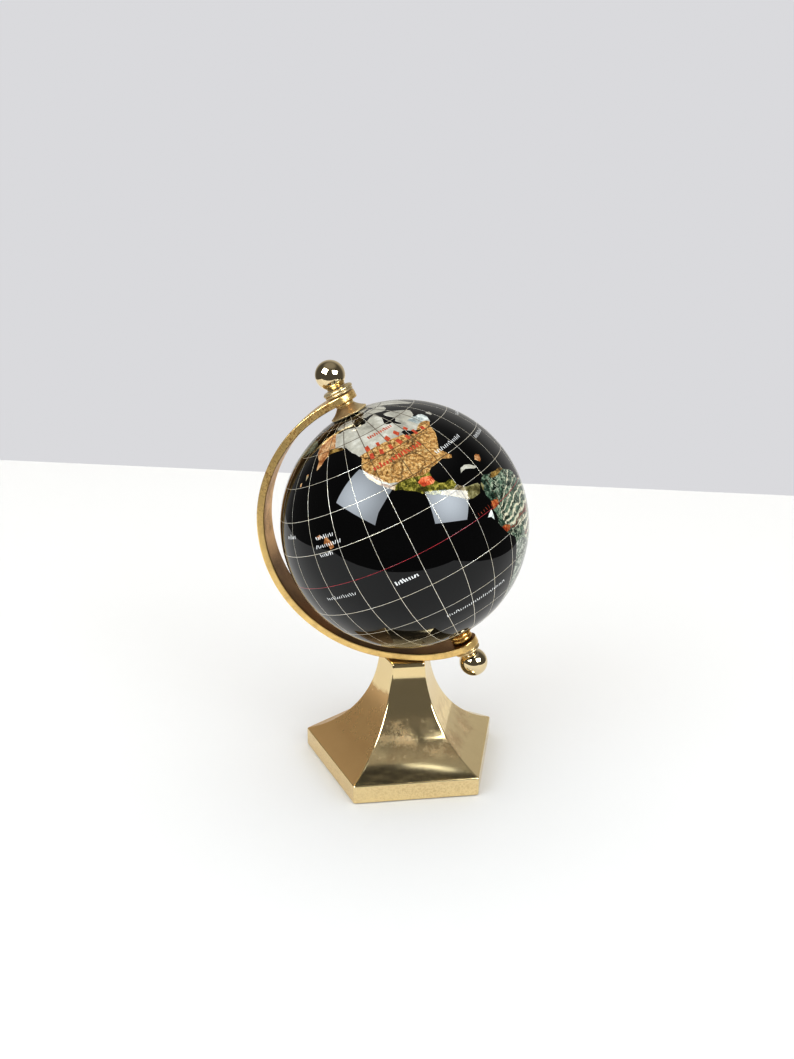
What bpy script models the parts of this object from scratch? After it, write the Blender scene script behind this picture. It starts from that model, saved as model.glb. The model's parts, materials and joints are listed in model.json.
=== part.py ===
"""Desk globe: an inlaid stone ball that turns in a brass strip on a flared five-sided foot.

Units are metres and +Z is up. The origin is the centre of the foot's underside. The strip stands
in the XZ plane, and the north pole leans towards -X. Pieces on the ball's axis are built about
the local Z of one tilted empty, so one angle leans them all.
"""
import math

import bmesh
import bpy
from mathutils import Matrix, Vector

# ---- driving dimensions ---------------------------------------------------------------------
GAP = 0.0003                      # between pieces that touch
SOFT = 0.0002                     # small chamfer on turned rims
MERGE = 1e-6

GLOBE_RADIUS = 0.0400
GLOBE_CENTRE = Vector((-0.0010, 0.0, 0.0849))
AXIS_TILT = math.radians(26.8)    # from upright, towards -X

STRIP_WIDTH = 0.0112
STRIP_THICKNESS = 0.0025
STRIP_EDGE = 0.0004               # rounding of the strip's four long edges
STRIP_REACH = 0.0046              # how far a tab runs past the axis
# Distance of the strip's middle from the ball's centre, every 30 degrees from upper to lower tab.
STRIP_BEND = (0.0451, 0.0457, 0.0463, 0.0461, 0.0452, 0.0447, 0.0459)
STRIP_STEPS = 44                  # sections along the bend
TAB_STEPS = 6                     # sections in a tab's rounded end
TAB_TURN = math.radians(84.0)     # the rounded end stops here, short of a point
TAB_FLAT = math.radians(3.0)      # the tabs are flat this far to each side of the axis
AHEAD = math.radians(0.5)         # half the chord that gives the strip's direction

FOOT_SIDES = 5
FOOT_TURN = math.radians(-111.0)  # direction of the first corner
PLINTH_CORNER = 0.0348            # centre to corner
PLINTH_HEIGHT = 0.0066
NECK_CORNER = 0.0090
FLARE_RADIUS = 0.0360             # the five hollow faces, measured along a ridge
FLARE_LIFT = 0.0024               # centre of the hollow above the neck's top
FLARE_STEPS = 20
FLARE_CROWD = 1.5                 # above 1 puts more of the steps low, where the ridge turns most
FOOT_EDGE = 0.0006                # rounding of ridges and rims

FINIAL_RADIUS = 0.00475
FINIAL_REACH = 0.0532             # ball's centre from the globe's centre, along the axis
FINIAL_NECK = 0.0030
FINIAL_RINGS = 14

# Domed washer with a thin lip: (share of its radius, height over its inner face), top to bottom.
WASHER_RADIUS = 0.0049
WASHER_SHAPE = ((0.69, 0.0021), (0.90, 0.0019), (0.98, 0.0016), (1.00, 0.0012), (0.97, 0.0009),
                (0.91, 0.0007), (0.94, 0.0004), (0.92, 0.0))
LOWER_WASHER_WIDTH = 0.9          # the lower washer is the same shape, smaller
LOWER_WASHER_DEPTH = 0.7

COLLAR_RADIUS = 0.00295           # stem of the pole cap
CAP_RADIUS = 0.0060
CAP_FLARE_TOP = 0.0427            # along the axis, from the globe's centre
CAP_FLARE_FOOT = 0.0404
CAP_FLARE_STEPS = 6
CAP_HOLLOW = 0.3                  # 0 is a straight cone, 1 a full quarter of an ellipse

BUSHING_RADIUS = 0.0037
BUSHING_GROOVE = 0.00035
BUSHING_RINGS = 3
BUSHING_SHOULDER = 0.2            # share of a ring's height taken by each sloping side

ROUND_SEGMENTS = 32
GLOBE_SEGMENTS = 48
SHARP = math.radians(32.0)

BRASS = ((0.80, 0.62, 0.32), 0.20, 1.0)
BRASS_DARK = ((0.62, 0.45, 0.24), 0.28, 1.0)
STONE = ((0.012, 0.012, 0.014), 0.08, 0.0)


# ---- scene and small helpers ----------------------------------------------------------------
def clear_scene():
    for obj in list(bpy.data.objects):
        bpy.data.objects.remove(obj, do_unlink=True)


def make_material(name, look):
    colour, roughness, metallic = look
    material = bpy.data.materials.new(name)
    material.use_nodes = True
    shader = material.node_tree.nodes["Principled BSDF"]
    shader.inputs["Base Color"].default_value = (*colour, 1.0)
    shader.inputs["Roughness"].default_value = roughness
    shader.inputs["Metallic"].default_value = metallic
    return material


def make_object(name, bm, look, parent=None):
    bmesh.ops.recalc_face_normals(bm, faces=bm.faces)
    mesh = bpy.data.meshes.new(name)
    bm.to_mesh(mesh)
    bm.free()
    mesh.materials.append(make_material(name + "_finish", look))
    mesh.shade_smooth()
    mesh.set_sharp_from_angle(angle=SHARP)
    obj = bpy.data.objects.new(name, mesh)
    obj.parent = parent
    bpy.context.collection.objects.link(obj)
    return obj


def add_ring(bm, points):
    """A closed loop of edges through the points."""
    verts = [bm.verts.new(point) for point in points]
    return [bm.edges.new((verts[i - 1], verts[i])) for i in range(len(verts))]


def skin_rings(bm, rings):
    """Walls from each loop to the next, and a face over both ends."""
    for lower, upper in zip(rings, rings[1:]):
        bmesh.ops.bridge_loops(bm, edges=lower + upper)
    for end in (rings[0], rings[-1]):
        bmesh.ops.contextual_create(bm, geom=end)


def turned(name, profile, look, parent):
    """A solid of revolution about local Z from (radius, height) pairs, axis to axis."""
    bm = bmesh.new()
    verts = [bm.verts.new((radius, 0.0, height)) for radius, height in profile]
    for upper, lower in zip(verts, verts[1:]):
        bm.edges.new((upper, lower))
    bmesh.ops.spin(bm, geom=bm.verts[:] + bm.edges[:], cent=(0, 0, 0), axis=(0, 0, 1),
                   angle=math.tau, steps=ROUND_SEGMENTS, use_merge=True)
    bmesh.ops.remove_doubles(bm, verts=bm.verts, dist=MERGE)
    return make_object(name, bm, look, parent)


def below(profile):
    """The same turned profile hung under the ball: heights change sign, and so does the order."""
    return [(radius, -height) for radius, height in reversed(profile)]


def axis_empty():
    """The ball's polar axis is this empty's local Z, with its origin in the ball's centre."""
    empty = bpy.data.objects.new("polar_axis", None)
    empty.matrix_world = Matrix.Translation(GLOBE_CENTRE) @ Matrix.Rotation(-AXIS_TILT, 4, "Y")
    bpy.context.collection.objects.link(empty)
    return empty


# ---- the strip's middle line ----------------------------------------------------------------
def bend_slope(index):
    """Change of distance per 30 degrees; none at the tabs, where the strip runs square."""
    if index in (0, len(STRIP_BEND) - 1):
        return 0.0
    return (STRIP_BEND[index + 1] - STRIP_BEND[index - 1]) / 2.0


def strip_distance(angle):
    """Smooth distance of the strip's middle from the ball's centre, by angle from the upper tab."""
    last = len(STRIP_BEND) - 2
    place = angle / (math.pi / (last + 1))
    first = min(max(int(place), 0), last)
    part = min(max(place - first, 0.0), 1.0)
    square = part * part
    cube = square * part
    return (STRIP_BEND[first] * (2 * cube - 3 * square + 1)
            + bend_slope(first) * (cube - 2 * square + part)
            + STRIP_BEND[first + 1] * (3 * square - 2 * cube)
            + bend_slope(first + 1) * (cube - square))


def strip_point(angle):
    """A point of the middle line in the axis frame, as (away from the axis, along the axis)."""
    return Vector((-math.sin(angle), math.cos(angle))) * strip_distance(angle)


def tab_end(end_angle, ahead):
    """Sections of one rounded tab, from its tip inwards: (middle, direction, half width)."""
    half = STRIP_WIDTH / 2.0
    sections = []
    for step in range(TAB_STEPS, -1, -1):
        turn = TAB_TURN * step / TAB_STEPS
        reach = STRIP_REACH - half + half * math.sin(turn)
        middle = strip_point(end_angle) + Vector((reach, 0.0))
        sections.append((middle, ahead, half * math.cos(turn)))
    return sections


def strip_sections():
    """(middle point, direction of travel, half width) from the upper tab's tip to the lower's."""
    sections = tab_end(0.0, Vector((-1.0, 0.0)))
    for step in range(STRIP_STEPS + 1):
        angle = TAB_FLAT + (math.pi - 2.0 * TAB_FLAT) * step / STRIP_STEPS
        travel = strip_point(angle + AHEAD) - strip_point(angle - AHEAD)
        sections.append((strip_point(angle), travel.normalized(), STRIP_WIDTH / 2.0))
    return sections + tab_end(math.pi, Vector((1.0, 0.0)))[::-1]


# ---- pieces -----------------------------------------------------------------------------------
def section_outline(half):
    """Corners of the strip's section as (across, outward), an oblong with its corners cut."""
    thick = STRIP_THICKNESS / 2.0
    across = half - STRIP_EDGE
    outward = thick - STRIP_EDGE
    return [(half, outward), (across, thick), (-across, thick), (-half, outward),
            (-half, -outward), (-across, -thick), (across, -thick), (half, -outward)]


def build_strip(parent):
    bm = bmesh.new()
    rings = []
    for middle, ahead, half in strip_sections():
        normal = Vector((-ahead.y, ahead.x))
        if normal.dot(middle) < 0.0:
            normal.negate()
        ring = []
        for across, outward in section_outline(half):
            place = middle + normal * outward
            ring.append((place.x, across, place.y))
        rings.append(add_ring(bm, ring))
    skin_rings(bm, rings)
    return make_object("meridian_arc", bm, BRASS, parent)


def foot_ring(corner, height):
    """Five-sided loop with rounded corners at one height."""
    half_turn = math.pi / FOOT_SIDES
    set_in = FOOT_EDGE / math.cos(half_turn)
    points = []
    for side in range(FOOT_SIDES):
        direction = FOOT_TURN + math.tau * side / FOOT_SIDES
        centre = Vector((math.cos(direction), math.sin(direction))) * (corner - set_in)
        for turn in (direction - half_turn, direction, direction + half_turn):
            point = centre + Vector((math.cos(turn), math.sin(turn))) * FOOT_EDGE
            points.append((point.x, point.y, height))
    return points


def rim(corner, height, side):
    """Quarter round at a rim, from the wall to the flat; side is +1 for a top rim, -1 for a foot."""
    levels = []
    for turn in (0.0, math.pi / 4.0, math.pi / 2.0):
        levels.append((corner - FOOT_EDGE * (1.0 - math.cos(turn)),
                       height - side * FOOT_EDGE * (1.0 - math.sin(turn))))
    return levels


def foot_top():
    """Height of the neck's flat top, just under the strip's lowest place."""
    lean = Matrix.Rotation(-AXIS_TILT, 3, "Y")
    depths = []
    for middle, _ahead, _half in strip_sections():
        outer = middle + middle.normalized() * STRIP_THICKNESS / 2.0
        depths.append((lean @ Vector((outer.x, 0.0, outer.y))).z)
    return GLOBE_CENTRE.z + min(depths) - GAP


def flare_levels(top):
    """(corner distance, height) up the hollow part, from the plinth's rim to the neck's."""
    centre = top + FLARE_LIFT
    first = PLINTH_HEIGHT + FOOT_EDGE / 2.0
    last = top - 2.0 * FOOT_EDGE
    levels = []
    for step in range(FLARE_STEPS + 1):
        height = first + (last - first) * (step / FLARE_STEPS) ** FLARE_CROWD
        hollow = math.sqrt(FLARE_RADIUS ** 2 - (centre - height) ** 2)
        levels.append((NECK_CORNER + FLARE_RADIUS - hollow, height))
    return levels


def build_foot():
    top = foot_top()
    levels = rim(PLINTH_CORNER, 0.0, -1)[::-1] + rim(PLINTH_CORNER, PLINTH_HEIGHT, 1)
    levels += flare_levels(top) + rim(NECK_CORNER, top, 1)
    bm = bmesh.new()
    skin_rings(bm, [add_ring(bm, foot_ring(*level)) for level in levels])
    return make_object("base", bm, BRASS)


def build_globe(parent):
    bm = bmesh.new()
    bmesh.ops.create_uvsphere(bm, u_segments=GLOBE_SEGMENTS, v_segments=GLOBE_SEGMENTS // 2,
                              radius=GLOBE_RADIUS)
    return make_object("globe_ball", bm, STONE, parent)


def build_pole_cap(parent):
    """Bell-shaped cap on the north pole; its underside is hollowed to the ball."""
    top = STRIP_BEND[0] - STRIP_THICKNESS / 2.0 - GAP
    profile = [(0.0, top), (COLLAR_RADIUS - SOFT, top), (COLLAR_RADIUS, top - SOFT)]
    spread = CAP_RADIUS - SOFT - COLLAR_RADIUS
    for step in range(CAP_FLARE_STEPS + 1):
        share = step / CAP_FLARE_STEPS
        turn = math.pi / 2.0 * share
        out = share + (1.0 - math.cos(turn) - share) * CAP_HOLLOW
        down = share + (math.sin(turn) - share) * CAP_HOLLOW
        profile.append((COLLAR_RADIUS + spread * out,
                        CAP_FLARE_TOP - (CAP_FLARE_TOP - CAP_FLARE_FOOT) * down))
    profile.append((CAP_RADIUS, CAP_FLARE_FOOT - SOFT))
    seat = GLOBE_RADIUS + GAP
    for radius in (CAP_RADIUS - SOFT, CAP_RADIUS / 2.0, 0.0):
        profile.append((radius, math.sqrt(seat ** 2 - radius ** 2)))
    return turned("pole_cap", profile, BRASS_DARK, parent)


def washer_profile(face, width, depth):
    """Washer from the axis over its dome to the inner face that meets the tab."""
    shape = [(share * WASHER_RADIUS * width, face + height * depth) for share, height in WASHER_SHAPE]
    return [(0.0, shape[0][1])] + shape + [(0.0, face)]


def finial_profile(foot):
    """Ball on a short neck, from the ball's top down to the neck's foot."""
    join = math.pi - math.asin(FINIAL_NECK / FINIAL_RADIUS)
    profile = []
    for step in range(FINIAL_RINGS + 1):
        turn = join * step / FINIAL_RINGS
        profile.append((FINIAL_RADIUS * math.sin(turn), FINIAL_REACH + FINIAL_RADIUS * math.cos(turn)))
    return profile + [(FINIAL_NECK, foot), (0.0, foot)]


def build_upper_pivot(parent):
    washer = washer_profile(STRIP_BEND[0] + STRIP_THICKNESS / 2.0 + GAP, 1.0, 1.0)
    turned("upper_washer", washer, BRASS, parent)
    turned("upper_finial", finial_profile(washer[0][1] + GAP), BRASS, parent)


def build_lower_pivot(parent):
    washer = washer_profile(STRIP_BEND[-1] + STRIP_THICKNESS / 2.0 + GAP,
                            LOWER_WASHER_WIDTH, LOWER_WASHER_DEPTH)
    turned("lower_washer", below(washer), BRASS, parent)
    turned("lower_finial", below(finial_profile(washer[0][1] + GAP)), BRASS, parent)


def build_lower_bushing(parent):
    """Collar of rings between the ball and the lower tab."""
    near = GLOBE_RADIUS + GAP
    far = STRIP_BEND[-1] - STRIP_THICKNESS / 2.0 - GAP
    pitch = (far - near) / BUSHING_RINGS
    groove = BUSHING_RADIUS - BUSHING_GROOVE
    profile = [(0.0, far)]
    for ring in range(BUSHING_RINGS):
        high = far - ring * pitch
        profile += [(groove, high), (BUSHING_RADIUS, high - BUSHING_SHOULDER * pitch),
                    (BUSHING_RADIUS, high - (1.0 - BUSHING_SHOULDER) * pitch)]
    profile += [(groove, near), (0.0, near)]
    return turned("lower_bushing", below(profile), BRASS_DARK, parent)


def main():
    clear_scene()
    axis = axis_empty()
    build_foot()
    build_strip(axis)
    build_globe(axis)
    build_pole_cap(axis)
    build_upper_pivot(axis)
    build_lower_pivot(axis)
    build_lower_bushing(axis)


main()
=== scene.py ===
# %% [markdown]
# # A desk globe with an inlaid stone ball
# The globe is a black stone ball with lands of coloured stone, let in flush and lacquered over.
# It turns in a bent brass strip on a flared, five-sided brass foot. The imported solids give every
# place and size; this script gives each piece its fine surface and its finish.

# %% Load the frame
import json
import math
from collections import Counter

import bmesh
import bpy
import numpy as np
from mathutils import Matrix, Vector, geometry, noise
from mathutils.bvhtree import BVHTree


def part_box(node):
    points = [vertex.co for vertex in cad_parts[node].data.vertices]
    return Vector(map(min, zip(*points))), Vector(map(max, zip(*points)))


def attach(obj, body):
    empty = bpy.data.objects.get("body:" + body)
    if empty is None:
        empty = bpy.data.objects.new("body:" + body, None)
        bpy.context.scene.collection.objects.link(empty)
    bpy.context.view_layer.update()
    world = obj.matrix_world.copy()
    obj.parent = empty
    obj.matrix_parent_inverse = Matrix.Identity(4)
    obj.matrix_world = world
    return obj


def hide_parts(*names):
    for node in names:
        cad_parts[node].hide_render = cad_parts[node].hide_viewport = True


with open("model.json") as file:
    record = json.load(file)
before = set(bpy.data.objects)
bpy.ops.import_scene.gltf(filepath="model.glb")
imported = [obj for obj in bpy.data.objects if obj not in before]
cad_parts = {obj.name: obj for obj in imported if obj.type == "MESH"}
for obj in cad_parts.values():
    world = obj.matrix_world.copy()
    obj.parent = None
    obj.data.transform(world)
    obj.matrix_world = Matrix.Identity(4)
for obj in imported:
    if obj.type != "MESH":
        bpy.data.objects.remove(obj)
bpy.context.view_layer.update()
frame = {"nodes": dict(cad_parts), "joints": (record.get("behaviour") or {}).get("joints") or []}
print("solids:", sorted(frame["nodes"]))

# %% [markdown]
# ## Where things are
# The hinge in the record gives the ball's centre and its leaning axis. Everything on that axis is
# drawn upright in an "axis frame", with +Z through the north pole, and then leaned by one matrix.

# %% Measures from the solids
spin = frame["joints"][0]
BALL_CENTRE = Vector(spin["pos_m"])
AXIS = Vector(spin["axis"]).normalized()
AXIS_TILT = math.atan2(-AXIS.x, AXIS.z)
LEAN = Matrix.Translation(BALL_CENTRE) @ Matrix.Rotation(-AXIS_TILT, 4, "Y")

SKIN = 0.00006                    # the visible ball lies this far under the solid one
ball_low, ball_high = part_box("globe_ball")
BALL_RADIUS = (ball_high.y - ball_low.y) / 2.0 - SKIN
FOOT_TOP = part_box("base")[1].z
print("ball radius %.2f mm, foot top %.2f mm" % (BALL_RADIUS * 1000, FOOT_TOP * 1000))


# %% [markdown]
# ## Helpers for meshes
# A lofted piece is a stack of loops with walls between them. A turned piece is a half section swept
# round the axis frame's Z. Both are plain vertex and face lists, which is the quickest way to get
# even, closed meshes with their faces pointing out.

# %% Mesh helpers
def add_piece(name, mesh, matrix=None):
    """Put a finished mesh into the scene, with its place in its vertices."""
    if matrix is not None:
        mesh.transform(matrix)
    mesh.update()
    piece = bpy.data.objects.new(name, mesh)
    bpy.context.scene.collection.objects.link(piece)
    return piece


def outward(mesh):
    """Point every face out, whichever way the loops ran."""
    bm = bmesh.new()
    bm.from_mesh(mesh)
    bmesh.ops.recalc_face_normals(bm, faces=bm.faces)
    bm.to_mesh(mesh)
    bm.free()


def closed(name, verts, faces, matrix):
    """A closed piece whose large faces rule the shading, so flats stay flat up to their edges."""
    mesh = bpy.data.meshes.new(name)
    mesh.from_pydata(verts, [], faces)
    outward(mesh)
    sums = np.zeros((len(verts), 3))
    for face in mesh.polygons:
        sums[list(face.vertices)] += np.array(face.normal) * face.area
    sums /= np.linalg.norm(sums, axis=1, keepdims=True)
    mesh.shade_smooth()
    mesh.normals_split_custom_set_from_vertices(sums.tolist())
    return add_piece(name, mesh, matrix)


def lofted(name, loops, matrix=None):
    """Walls from loop to loop, and a flat cap at each end."""
    width = len(loops[0])
    verts = [point for loop in loops for point in loop]
    faces = [list(range(width))[::-1], [len(verts) - width + i for i in range(width)]]
    for low in range(0, len(verts) - width, width):
        for i in range(width):
            j = (i + 1) % width
            faces.append([low + i, low + j, low + width + j, low + width + i])
    return closed(name, verts, faces, matrix)


def eased(profile, reach):
    """Round each corner of an open polyline with a short curve that starts this far from it."""
    points = [Vector(p) for p in profile]
    out = [points[0]]
    for before, corner, after in zip(points, points[1:], points[2:]):
        to_before, to_after = before - corner, after - corner
        step = min(reach, to_before.length * 0.45, to_after.length * 0.45)
        start = corner + to_before.normalized() * step
        end = corner + to_after.normalized() * step
        for share in (0.0, 0.25, 0.5, 0.75, 1.0):
            out.append(start.lerp(corner, share).lerp(corner.lerp(end, share), share))
    return out + [points[-1]]


def turned(name, profile, matrix, segments=96):
    """Sweep a half section, from axis to axis, round Z."""
    verts = [(0.0, 0.0, profile[0][1]), (0.0, 0.0, profile[-1][1])]
    for radius, height in profile[1:-1]:
        for i in range(segments):
            turn = math.tau * i / segments
            verts.append((radius * math.cos(turn), radius * math.sin(turn), height))
    faces, last = [], len(verts) - segments
    for i in range(segments):
        j = (i + 1) % segments
        faces += [[0, 2 + i, 2 + j], [1, last + j, last + i]]
        for row in range(2, last, segments):
            above = row + segments
            faces.append([row + i, above + i, above + j, row + j])
    return closed(name, verts, faces, matrix)


# %% [markdown]
# ## Helpers for materials
# A signal is a node's output. Sums are written on signals as they would be on numbers, and each one
# adds a Math node to the signal's own tree. Colours are written as the six-figure codes a painter's
# chart gives, and turned into the linear values that Blender's sockets want.

# %% Material helpers
class Signal:
    """A node's output, which sums can be written on."""
    def __init__(self, socket):
        self.socket, self.tree = socket, socket.id_data


def plug(node, *plain, **named):
    """Give a node's inputs, by order or by name, a signal or a plain value."""
    pairs = list(zip(node.inputs, plain))
    pairs += [(node.inputs[key.replace("_", " ")], value) for key, value in named.items()]
    for socket, value in pairs:
        if isinstance(value, Signal):
            value.tree.links.new(value.socket, socket)
        elif value is not None:
            socket.default_value = value


def add_node(tree, kind, *plain, out=0, settings=(), **named):
    """Make a node with its options and inputs, and return one of its outputs."""
    node = tree.nodes.new(kind)
    for key, value in dict(settings).items():
        setattr(node, key, value)
    plug(node, *plain, **named)
    return Signal(node.outputs[out])


def tree_of(values):
    return next(value.tree for value in values if isinstance(value, Signal))


def maths(operation, *values):
    """A Math node's result from numbers and signals."""
    return add_node(tree_of(values), "ShaderNodeMath", *values, settings={"operation": operation})


for sign, operation in (("add", "ADD"), ("sub", "SUBTRACT"), ("mul", "MULTIPLY"),
                        ("truediv", "DIVIDE")):
    setattr(Signal, "__%s__" % sign, lambda a, b, kind=operation: maths(kind, a, b))
    setattr(Signal, "__r%s__" % sign, lambda b, a, kind=operation: maths(kind, a, b))


def vector_maths(operation, first, second=None, scale=None, out=0):
    return add_node(first.tree, "ShaderNodeVectorMath", first, second, None, scale, out=out,
                    settings={"operation": operation})


def combine(*values):
    """A vector from three numbers."""
    return add_node(tree_of(values), "ShaderNodeCombineXYZ", *values)


def split(vector):
    """A vector's three numbers."""
    parts = add_node(vector.tree, "ShaderNodeSeparateXYZ", vector).socket.node.outputs
    return [Signal(part) for part in parts]


def ramp(value, low, high, to_low=0.0, to_high=1.0):
    """Ease a value from one range to another."""
    return add_node(value.tree, "ShaderNodeMapRange", value, low, high, to_low, to_high,
                    settings={"interpolation_type": "SMOOTHSTEP"})


def blend(share, first, second):
    """Mix two colours."""
    return add_node(share.tree, "ShaderNodeMix", share, *[None] * 5, first, second, out=2,
                    settings={"data_type": "RGBA"})


def noisy(place, scale, detail=4.0, roughness=0.5, distortion=0.0, out=0):
    """Noise from 0 to 1; output 1 is the same as a colour."""
    return add_node(place.tree, "ShaderNodeTexNoise", out=out, Vector=place, Scale=scale,
                    Detail=detail, Roughness=roughness, Distortion=distortion)


def place_on(tree):
    """The place on the piece."""
    return add_node(tree, "ShaderNodeTexCoord", out="Object")


def tint(code):
    """Linear RGBA from a hex colour code."""
    out = []
    for start in (0, 2, 4):
        value = int(code[start:start + 2], 16) / 255.0
        out.append(value / 12.92 if value <= 0.04045 else ((value + 0.055) / 1.055) ** 2.4)
    return (*out, 1.0)


SOCKET_KINDS = {tuple: "Color", float: "Float", int: "Int", type(None): "Material"}


def new_group(name, kind, inputs, outputs):
    """A node group; returns its tree, its inputs as signals by name, and its output node."""
    tree = bpy.data.node_groups.new(name, kind)
    for label, value in inputs.items():
        socket = tree.interface.new_socket(label, in_out="INPUT",
                                           socket_type="NodeSocket" + SOCKET_KINDS[type(value)])
        if value is not None:
            socket.default_value = value
    for label, socket_kind in outputs.items():
        tree.interface.new_socket(label, in_out="OUTPUT", socket_type="NodeSocket" + socket_kind)
    given = {socket.name: Signal(socket) for socket in tree.nodes.new("NodeGroupInput").outputs}
    return tree, given, tree.nodes.new("NodeGroupOutput")


def use_group(tree, group, **named):
    """Place a shader group; returns its node, and its outputs as signals by name."""
    node = tree.nodes.new("ShaderNodeGroup")
    node.node_tree = group
    plug(node, **named)
    return node, {socket.name: Signal(socket) for socket in node.outputs}


def new_material(name):
    material = bpy.data.materials.new(name)
    material.use_nodes = True
    return material, material.node_tree, material.node_tree.nodes["Principled BSDF"]


# %% [markdown]
# ## Brass that has been handled
# All the metal is the same pale brass. What differs is wear: fine tarnish specks, cloudy haze where
# the polish has gone, and small pits. One group makes all three from noise, and each piece sets how
# much of each it has. Haze is a thin film of oxide over a surface that still mirrors, so it makes
# the metal a little less metallic as well as duller.

# %% The brass wear group
brass_wear, given, results = new_group(
    "brass_wear", "ShaderNodeTree",
    {"Metal": tint("F4DCAE"), "Tarnish": tint("6A4A22"), "Specks": 0.0, "Haze": 0.0,
     "Polish": 0.05, "Dullness": 0.30, "Film": 0.0, "Evenness": 0.35, "Patch Size": 110.0},
    {"Colour": "Color", "Roughness": "Float", "Metalness": "Float", "Height": "Float"})
place = place_on(brass_wear)
patches = noisy(place, given["Patch Size"], 5.0, 0.6)
specks = noisy(place, 1500.0, 3.0, 0.7)
fine = noisy(place, 5200.0, 2.0, 0.6)
speck_mask = ramp(specks, 0.44, 0.60) * ramp(patches, 0.30, 0.62) * given["Specks"]
haze_mask = ramp(patches, 0.36, 0.66) * ramp(specks, 0.30, 0.62, 0.55, 1.15) * given["Haze"]
worn = maths("MAXIMUM", speck_mask, haze_mask * 0.4)
dull = maths("MAXIMUM", speck_mask, haze_mask)
film = (dull * (1.0 - given["Evenness"]) + given["Evenness"]) * given["Film"]
plug(results, Colour=blend(worn, given["Metal"], given["Tarnish"]), Metalness=1.0 - film,
     Roughness=dull * given["Dullness"] + given["Polish"], Height=fine * 0.3 - speck_mask)


def brass(name, metal="F4DCAE", tarnish="6A4A22", bump=0.02, **wear):
    """A brass finish with its own amounts of wear; returns it and its wear node."""
    material, tree, shader = new_material(name)
    node, worn = use_group(tree, brass_wear, Metal=tint(metal), Tarnish=tint(tarnish), **wear)
    relief = add_node(tree, "ShaderNodeBump", Strength=bump, Distance=0.0001,
                      Height=worn["Height"])
    plug(shader, Base_Color=worn["Colour"], Metallic=worn["Metalness"],
         Roughness=worn["Roughness"], Normal=relief)
    return material, node


knob_brass = brass("knob_brass", metal="ECDAB4", bump=0.004, Specks=0.05, Haze=0.10,
                   Polish=0.03, Dullness=0.10)[0]
washer_brass = brass("washer_brass", metal="ECDAB0", tarnish="8A6636", bump=0.01, Specks=0.2,
                     Haze=0.8, Polish=0.30, Dullness=0.15, Film=0.4, Patch_Size=300.0)[0]
print("brass group:", len(brass_wear.nodes), "nodes")

# %% [markdown]
# ## The foot
# One casting: a low five-sided plinth, five hollow faces that sweep up a circular arc, and a flat
# top just under the strip. The solid has the same shape with fewer steps. Polished metal shows
# every facet, so here the arc gets 150 steps and each edge a proper little round.

# %% Build the foot
FOOT_SIDES = 5
FOOT_TURN = math.radians(-111.0)
PLINTH_CORNER, PLINTH_HEIGHT = 0.0348, 0.0066
NECK_CORNER = 0.0090
FLARE_RADIUS, FLARE_LIFT, FLARE_STEPS = 0.0360, 0.0024, 150
FOOT_EDGE, EDGE_STEPS = 0.0006, 6


def foot_loop(corner, height):
    """Five-sided loop with rounded corners."""
    half_turn = math.pi / FOOT_SIDES
    set_in = FOOT_EDGE / math.cos(half_turn)
    points = []
    for side in range(FOOT_SIDES):
        direction = FOOT_TURN + math.tau * side / FOOT_SIDES
        centre = Vector((math.cos(direction), math.sin(direction))) * (corner - set_in)
        for step in range(EDGE_STEPS + 1):
            turn = direction + half_turn * (2.0 * step / EDGE_STEPS - 1.0)
            point = centre + Vector((math.cos(turn), math.sin(turn))) * FOOT_EDGE
            points.append((point.x, point.y, height))
    return points


def rim(corner, height, side):
    """Quarter round from the wall to the flat; side is +1 at a top and -1 at a foot."""
    turns = [math.pi / 2.0 * step / EDGE_STEPS for step in range(EDGE_STEPS + 1)]
    return [(corner - FOOT_EDGE * (1.0 - math.cos(turn)),
             height - side * FOOT_EDGE * (1.0 - math.sin(turn))) for turn in turns]


def flare():
    """(corner distance, height) up the hollow arc."""
    centre = FOOT_TOP + FLARE_LIFT
    first, last = PLINTH_HEIGHT + FOOT_EDGE / 2.0, FOOT_TOP - 2.0 * FOOT_EDGE
    levels = []
    for step in range(FLARE_STEPS + 1):
        height = first + (last - first) * (step / FLARE_STEPS) ** 1.5
        hollow = math.sqrt(FLARE_RADIUS ** 2 - (centre - height) ** 2)
        levels.append((NECK_CORNER + FLARE_RADIUS - hollow, height))
    return levels


foot_levels = (rim(PLINTH_CORNER, 0.0, -1)[::-1] + rim(PLINTH_CORNER, PLINTH_HEIGHT, 1)
               + flare() + rim(NECK_CORNER, FOOT_TOP, 1))
foot = lofted("foot_casting", [foot_loop(*level) for level in foot_levels])
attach(foot, "stand")
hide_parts("base")
print("foot:", len(foot.data.polygons), "faces")
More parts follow.
